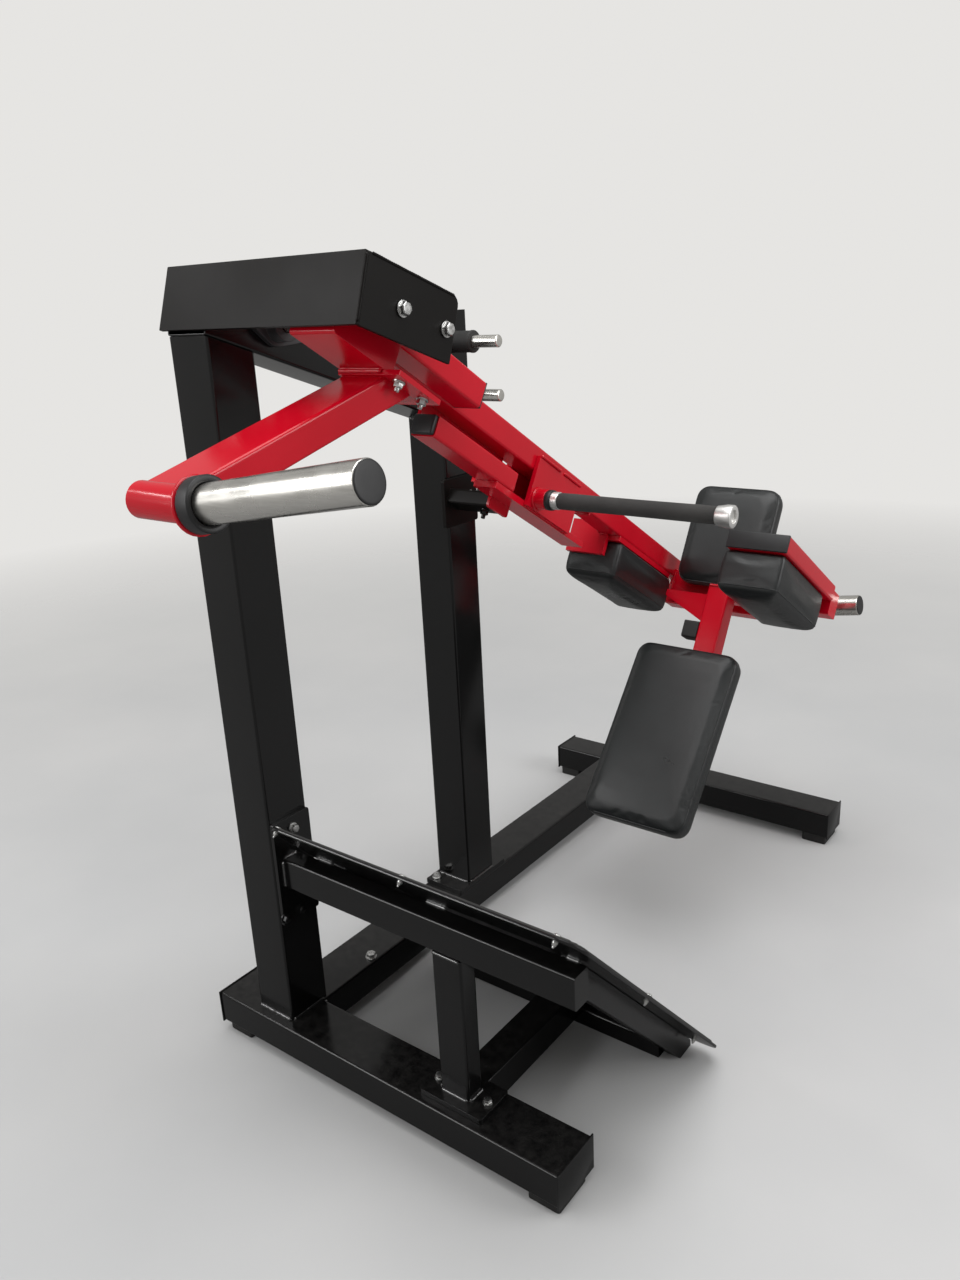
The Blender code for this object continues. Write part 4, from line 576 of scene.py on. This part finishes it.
# Each rib stops short of the tread's rounded corners.
TREAD_LONG, TREAD_LEFT, TREAD_RIGHT = 0.677, 0.225, 0.828
TREAD_START, TREAD_ROUND = 0.010, 0.030
RIB_PITCH, RIB_WIDE, RIB_TALL, FIRST_RIB = 0.0085, 0.0042, 0.0016, 0.006
bm = bmesh.new()
for row in range(int((TREAD_LONG - 0.004) / RIB_PITCH)):
    down = FIRST_RIB + row * RIB_PITCH
    nearest = min(down, TREAD_LONG - down)
    corner = max(TREAD_ROUND - nearest, 0)
    short = TREAD_ROUND - math.sqrt(TREAD_ROUND**2 - corner**2) + 0.0015
    wide = TREAD_RIGHT - TREAD_LEFT - short * 2
    stand = Matrix.Translation(on_plate((TREAD_LEFT + TREAD_RIGHT) / 2, TREAD_START + down, 0.0003))
    stand = stand @ Matrix.Rotation(-SLOPE, 4, "X") @ Matrix.Diagonal((wide, RIB_WIDE, RIB_TALL, 1))
    made = bmesh.ops.create_cube(bm, size=1, matrix=stand)["verts"]
    raised = {vert for vert in made if (vert.co - stand.translation).dot(plate_normal) > 0}
    lid = [edge for edge in bm.edges if set(edge.verts) <= raised]
    ease(bm, lid, 0.0005)
make_piece("tread_ribs", bm, ribbed_rubber, "frame")

bm = bmesh.new()
dome = [(0.0, 0.0065), (0.0008, 0.0065), (0.0018, 0.0058), (0.0026, 0.0040), (0.0030, 0.0)]
fixings = [(x, down) for x in (0.234, 0.512, 0.793) for down in (0.018, 0.668)]
fixings += [(0.240, 0.311), (0.825, 0.311)]
for x, down in fixings:
    below = on_plate(x, down, -0.0085)
    screwed(bm, below, -plate_normal, flats=0.006, head=0.0035, washer=0.0045, stub=0.003)
    turned(bm, dome, on_plate(x, down, 0.0001), plate_normal, 24)
make_piece("tread_bolts", bm, zinc, "frame")


# Swing arm: the welded box-tube arm in gloss red, from the hub on the pivot shaft down to the pads.
# A second tube braces it below, and a gusset on each side carries the handle and the lug that meets the stop.
red_gloss = paint(
    "red_gloss", (0.57, 0.0018, 0.015), (0.48, 0.0013, 0.011), 0.20, 0.10, 0.02, shine=0.38
)
dress("hub_box side_box main_arm brace_tube handle_bracket stop_lug", red_gloss)
ARM_TILT = math.radians(30.9)
ARM_DATUM_Y, ARM_DATUM_Z = 0.158, 1.326


def on_arm(x, s, n):
    """A point on the swing arm: s runs down its slope from its datum, n square to it."""
    y = ARM_DATUM_Y + s * math.cos(ARM_TILT) + n * math.sin(ARM_TILT)
    return spot(x, y, ARM_DATUM_Z - s * math.sin(ARM_TILT) + n * math.cos(ARM_TILT))


down_arm = Vector((0, math.cos(ARM_TILT), -math.sin(ARM_TILT)))
off_arm = Vector((0, math.sin(ARM_TILT), math.cos(ARM_TILT)))
ARM_BEADS = (
    ((0.3940, 0.503, -0.004), (0.3940, 0.578, -0.004)),
    ((0.3940, 0.590, -0.004), (0.3940, 0.660, -0.004)),
    ((0.3340, 0.8690, -0.0080), (0.3340, 0.8690, -0.0320)),
    ((0.3380, 0.8685, -0.0330), (0.3560, 0.8685, -0.0330)),
    ((0.3540, 0.0030, -0.0770), (0.4380, 0.0030, -0.0770)),
    ((0.3540, 0.0015, -0.0810), (0.4380, 0.0015, -0.0810)),
    ((0.3400, 0.7395, -0.0330), (0.3820, 0.7395, -0.0330)),
    ((0.3870, 1.176, -0.0140), (0.3870, 1.224, -0.0140)),
    ((0.3870, 1.1750, -0.0180), (0.3870, 1.1750, -0.0660)),
    ((0.5020, 1.1245, -0.0520), (0.5480, 1.1245, -0.0520)),
)
HANDLE_S, HANDLE_N = 0.5284, -0.0792
bm = bmesh.new()
for start, end in ARM_BEADS:
    bead(bm, on_arm(*start), on_arm(*end), radius=0.0030)
round_bead(bm, on_arm(0.3945, HANDLE_S, HANDLE_N), (1, 0, 0), 0.0195)
make_piece("arm_welds", bm, red_gloss, "pendulum", crease=60)


def plug(name, x, s, n, size, rim):
    """A moulded plug in a tube's end: its middle, its size across, along and square to the arm, its rim."""
    bm = bmesh.new()
    stand = Matrix.Translation(on_arm(x, s, n)) @ Matrix.Rotation(-ARM_TILT, 4, "X")
    bmesh.ops.create_cube(bm, size=1, matrix=stand @ Matrix.Diagonal((*size, 1)))
    ease(bm, list(bm.edges), rim, 3)
    make_piece(name, bm, black_plastic, "pendulum")


black_plastic, tree, shader = new_finish("black_plastic", Roughness=0.45)
skin = using(tree, paint_skin, Peel=1100.0, Cloud=30.0)
tint = mixed(tree, skin["Patch"], (0.009, 0.009, 0.010), (0.016, 0.016, 0.017))
tree.links.new(tint, shader.inputs["Base Color"])
grained = place(tree, "ShaderNodeBump", Strength=0.25, Distance=0.0003, Height=skin["Height"])
tree.links.new(grained.outputs["Normal"], shader.inputs["Normal"])
plug("brace_plug", 0.360, 0.2065, -0.0740, (0.046, 0.010, 0.034), 0.003)
plug("side_box_plug", 0.4127, 0.2357, -0.0085, (0.0538, 0.003, 0.0444), 0.0009)


# Counterbalance arm: a red box tube that is bolted under the hub, with a barrel across its front end.
# The two bolts at its flange are zinc plated, with their threads showing below.
dress("counter_arm counter_barrel", red_gloss)
bm = bmesh.new()
for s, turn in ((0.026, 0.2), (0.083, 0.7)):
    screwed(bm, on_arm(0.455, s, -0.0855), -off_arm, flats=0.013, washer=0.0095, stub=0.006, turn=turn)
make_piece("hub_bolts", bm, zinc, "pendulum")


# Front weight horn: a chromed steel tube that rises outward, with a red disc and a black collar at its root.
# A dark moulded cap closes its end, just proud of the chrome.
dress("front_disc", red_gloss, 0.0010)
dress("front_collar", black_plastic, 0.0040)
dress("front_horn rear_left_peg rear_right_peg", chrome, 0.0006)


def cap_bar(name, tip, axis, radius):
    """A domed plug with a narrow flange, pushed into the end of a horn or peg."""
    rim = radius - 0.0012
    profile = [(-0.004, 0.0), (-0.004, rim * 0.9), (0.0001, rim)]
    profile += [(0.0009, rim - 0.0002), (0.0015, rim - 0.0012)]
    profile += [(0.0017, rim * 0.86), (0.0019, rim * 0.5), (0.0020, 0.0)]
    bm = bmesh.new()
    turned(bm, profile, tip, axis)
    make_piece(name, bm, black_plastic, "pendulum", crease=50)


HORN_TILT = math.radians(9.4)
HORN_LONG, HORN_RADIUS = 0.290, 0.025
horn_axis = Vector((math.cos(HORN_TILT), 0, math.sin(HORN_TILT)))
cap_bar("front_horn_cap", spot(0.4583, -0.245, 1.130) + horn_axis * HORN_LONG, horn_axis, HORN_RADIUS)


# Handle: a chromed bar welded into a boss on the gusset, with a black ring, a collar and a foam sleeve.
# A flared chrome cap closes its outer end. The foam is dark grey, with fine open pores and rounded ends.
satin_chrome = streaked("satin_chrome", (0.95, 0.94, 0.92), 0.34, 0.48, (5, 420, 420))
dress("handle_bar handle_cap", satin_chrome, 0.0005, 60)
foam, tree, shader = new_finish("grip_foam", Roughness=0.95)
where = place(tree, "ShaderNodeTexCoord").outputs["Object"]
pores = place(tree, "ShaderNodeTexVoronoi", Vector=where, Scale=900.0).outputs["Distance"]
rubbed = place(tree, "ShaderNodeTexNoise", Vector=where, Scale=14.0, Detail=6.0).outputs["Fac"]
tint = mixed(tree, ranged(tree, rubbed, 0.3, 0.7), (0.036, 0.035, 0.034), (0.058, 0.056, 0.054))
# Each open pore is painted darker, as painted shade inside the pore.
tint = mixed(tree, ranged(tree, pores, 0.0, 0.45), (0.018, 0.018, 0.018), tint)
tree.links.new(tint, shader.inputs["Base Color"])
open_cell = place(tree, "ShaderNodeBump", Strength=0.5, Distance=0.0006, Height=pores)
tree.links.new(open_cell.outputs["Normal"], shader.inputs["Normal"])
grip_low, grip_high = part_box("handle_grip")
centre = Vector((grip_low.x, (grip_low.y + grip_high.y) / 2, (grip_low.z + grip_high.z) / 2))
long = grip_high.x - grip_low.x
GRIP_RADIUS, GRIP_WAVE = 0.01525, 0.0003
profile = [(0.0, 0.0118), (0.0, 0.0136), (0.0006, 0.0147), (0.0018, GRIP_RADIUS)]
for share in (0.1, 0.22, 0.35, 0.5, 0.64, 0.78, 0.9):
    profile.append((long * share, GRIP_RADIUS - GRIP_WAVE * math.sin(share * 40)))
profile += [(long - 0.0018, GRIP_RADIUS), (long - 0.0006, 0.0147), (long, 0.0136), (long, 0.0118)]
bm = bmesh.new()
turned(bm, profile + [profile[0]], centre, (1, 0, 0), 64)
grip = make_piece("foam_grip", bm, foam, "pendulum", crease=60)
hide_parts("handle_grip")
bm = bmesh.new()
hole = on_arm(0.4176, HANDLE_S, HANDLE_N)
profile = [(0.0, 0.0171), (0.0, 0.0180), (0.0012, 0.0189), (0.0060, 0.0191)]
profile += [(0.0108, 0.0189), (0.0120, 0.0180), (0.0120, 0.0171)]
turned(bm, profile, hole, (1, 0, 0))
make_piece("handle_ring", bm, black_plastic, "pendulum", crease=60)


# Lower end of the arm: a cross tube to the right side member, the back pad's tube with its web, and the
# rear carrier, all of red tube and plate. A black plug closes the side member's front, and each rear peg
# has a dark cap like the horn's.
dress("cross_tube side_member back_pad_tube back_pad_bracket rear_carrier left_pad_bracket", red_gloss)
dress("rubber_block", moulded_rubber, 0.0020)
PEG_LONG, PEG_RADIUS = 0.240, 0.0225
for name, way, x in (("rear_right_cap", 1, 0.5603), ("rear_left_cap", -1, 0.3347)):
    axis = Vector((way * math.cos(HORN_TILT), 0, math.sin(HORN_TILT)))
    cap_bar(name, on_arm(x, 1.2873, -0.052) + axis * PEG_LONG, axis, PEG_RADIUS)
plug("side_member_plug", 0.7025, 0.8450, -0.022, (0.1246, 0.006, 0.0356), 0.002)


# Pads: dense foam in black grained vinyl that is pulled tight over it. The cover swells between its edges,
# and a welted seam runs round each pad's face, round its back edge and down its corners.
# The head pad and the back pad sit on boards that are covered in cloth.
vinyl, tree, shader = new_finish("grained_vinyl", Coat_Weight=0.12, Coat_Roughness=0.35)
where = place(tree, "ShaderNodeTexCoord").outputs["Object"]
cells = place(tree, "ShaderNodeTexVoronoi", {"feature": "DISTANCE_TO_EDGE"}, Vector=where, Scale=620.0)
creases = ranged(tree, cells.outputs["Distance"], 0.0, 0.12)
pull = place(tree, "ShaderNodeTexNoise", Vector=where, Scale=7.0, Detail=4.0, Distortion=0.4).outputs["Fac"]
tint = mixed(tree, ranged(tree, pull, 0.3, 0.7), (0.0085, 0.0100, 0.0104), (0.0150, 0.0176, 0.0182))
# The grain's creases are painted darker, as painted shade in them.
tree.links.new(mixed(tree, creases, (0.0050, 0.0058, 0.0060), tint), shader.inputs["Base Color"])
tree.links.new(ranged(tree, pull, 0.3, 0.7, 0.27, 0.38), shader.inputs["Roughness"])
slack = place(tree, "ShaderNodeBump", Strength=0.25, Distance=0.004, Height=pull)
hide = place(
    tree, "ShaderNodeBump", Strength=0.35, Distance=0.0003, Height=creases, Normal=slack.outputs["Normal"]
)
tree.links.new(hide.outputs["Normal"], shader.inputs["Normal"])


CELL, AIR_PRESSURE, AIR_STEPS, MOST_SWELLING = 0.004, 4.0, 20, 0.0030


def upholster(name, node, cap):
    """Covers a pad's solid with a skin of even cells, blown up by air pressure until it is tight."""
    bm = bmesh.new()
    bm.from_mesh(solids[node].data)
    bmesh.ops.remove_doubles(bm, verts=bm.verts, dist=2e-5)
    mesh = bpy.data.meshes.new(name)
    bm.to_mesh(mesh)
    bm.free()
    cover = bpy.data.objects.new(name, mesh)
    bpy.context.scene.collection.objects.link(cover)
    steps = cover.modifiers.new("cells", "REMESH")
    steps.mode = "VOXEL"
    steps.voxel_size = CELL
    graph = bpy.context.evaluated_depsgraph_get()
    cover.data = bpy.data.meshes.new_from_object(cover.evaluated_get(graph))
    cover.modifiers.clear()
    bm = bmesh.new()
    bm.from_mesh(cover.data)
    every_way = {"use_axis_x": True, "use_axis_y": True, "use_axis_z": True}
    bmesh.ops.smooth_vert(bm, verts=bm.verts, factor=0.5, **every_way)
    bm.to_mesh(cover.data)
    bm.free()
    start = [(vert.co.copy(), vert.normal.copy()) for vert in cover.data.vertices]
    cloth = cover.modifiers.new("air", "CLOTH")
    cloth.settings.use_pressure = True
    cloth.settings.uniform_pressure_force = AIR_PRESSURE
    cloth.settings.effector_weights.gravity = 0.0
    cloth.point_cache.frame_start = 1
    cloth.point_cache.frame_end = AIR_STEPS
    for step in range(1, AIR_STEPS + 1):
        bpy.context.scene.frame_set(step)
    graph = bpy.context.evaluated_depsgraph_get()
    blown = bpy.data.meshes.new_from_object(cover.evaluated_get(graph))
    cover.modifiers.clear()
    cover.data = blown
    # Half of the swelling square to the surface is kept, and no more than the cap.
    for vert, (was, out) in zip(blown.vertices, start):
        vert.co = was + out * min(max((vert.co - was).dot(out), 0.0) * 0.5, cap)
    bpy.context.scene.frame_set(1)
    smoother = cover.modifiers.new("smooth", "SUBSURF")
    smoother.levels = smoother.render_levels = 1
    cover.data.materials.clear()
    cover.data.materials.append(vinyl)
    cover.data.shade_smooth()
    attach(cover, "pendulum")
    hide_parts(node)
    return cover


def seam(bm, cover_tree, corners, closed=False, radius=0.0012, gap=0.005):
    """A welted seam that lies on a cover along straight runs between these points."""
    if closed:
        corners = corners + corners[:1]
    path = []
    for start, end in zip(corners, corners[1:]):
        count = max(2, round((end - start).length / gap))
        path += [start.lerp(end, step / count) for step in range(count)]
    path.append(corners[-1])
    laid = [cover_tree.find_nearest(point)[0] for point in path]
    soft = [laid[0]]
    for before, here, after in zip(laid, laid[1:], laid[2:]):
        soft.append((before + here * 2 + after) / 4)
    soft.append(laid[-1])
    sweep(bm, soft, [radius] * len(soft), sides=6)


# Each pad has its middle on the arm, its width, length and thickness, and the way that it faces.
PADS = {
    "left_shoulder": (0.3255, 1.024, -0.0436, 0.127, 0.280, 0.090, "down"),
    "right_shoulder": (0.697, 0.993, -0.0403, 0.127, 0.280, 0.090, "down"),
    "head": (0.511, 1.165, 0.0695, 0.202, 0.237, 0.045, "front"),
    "back": (0.511, 0.0, 0.0, 0.240, 0.413, 0.055, "slope"),
}
BACK_SLOPE = math.radians(49)
along_slope = Vector((0, math.cos(BACK_SLOPE), math.sin(BACK_SLOPE)))
off_slope = Vector((0, -math.sin(BACK_SLOPE), math.cos(BACK_SLOPE)))
QUARTERS = ((1, 1), (-1, 1), (-1, -1), (1, -1))
FACE_SEAM, EDGE_SEAM = 0.80, 0.06
pad_seams = bmesh.new()
for name, (x, s, n, wide, long, thick, way) in PADS.items():
    cover = upholster(name + "_cover", name + "_pad", MOST_SWELLING)
    if way == "down":
        root, run, out, corner = on_arm(x, s, n), down_arm, -off_arm, 0.010
    elif way == "front":
        root, run, out, corner = on_arm(x, s, n), off_arm, -down_arm, 0.030
    else:
        root = spot(x, 0.830, 0.4435) - off_slope * thick
        run, out, corner = along_slope, off_slope, 0.030
    graph = bpy.context.evaluated_depsgraph_get()
    cover_tree = BVHTree.FromObject(cover, graph)
    across = Vector((1, 0, 0))
    for share, radius in ((FACE_SEAM, 0.0012), (EDGE_SEAM, 0.0008)):
        loop = []
        for quarter, (sign_x, sign_y) in enumerate(QUARTERS):
            for step in range(4):
                turn = math.radians(90 * quarter + 30 * step)
                out_x = sign_x * (wide / 2 - corner) + corner * math.cos(turn)
                out_y = sign_y * (long / 2 - corner) + corner * math.sin(turn)
                loop.append(root + across * out_x + run * out_y + out * thick * share)
        seam(pad_seams, cover_tree, loop, closed=True, radius=radius)
    for sign_x, sign_y in QUARTERS:
        nook = root + across * sign_x * (wide / 2 - corner * 0.3) + run * sign_y * (long / 2 - corner * 0.3)
        ends = [nook + out * thick * FACE_SEAM, nook + out * thick * EDGE_SEAM]
        seam(pad_seams, cover_tree, ends, radius=0.0010)
make_piece("pad_seams", pad_seams, vinyl, "pendulum", crease=60)

backing, tree, shader = new_finish("backing_cloth", Roughness=0.9)
where = place(tree, "ShaderNodeTexCoord").outputs["Object"]
weave = place(
    tree, "ShaderNodeTexWave", {"bands_direction": "X"}, Vector=where, Scale=180.0, Distortion=1.5
).outputs["Fac"]
tree.links.new(mixed(tree, weave, (0.010, 0.010, 0.010), (0.028, 0.028, 0.027)), shader.inputs["Base Color"])
threads = place(tree, "ShaderNodeBump", Strength=0.5, Distance=0.0004, Height=weave)
tree.links.new(threads.outputs["Normal"], shader.inputs["Normal"])
dress("head_pad_board back_pad_board", backing, 0.0010)
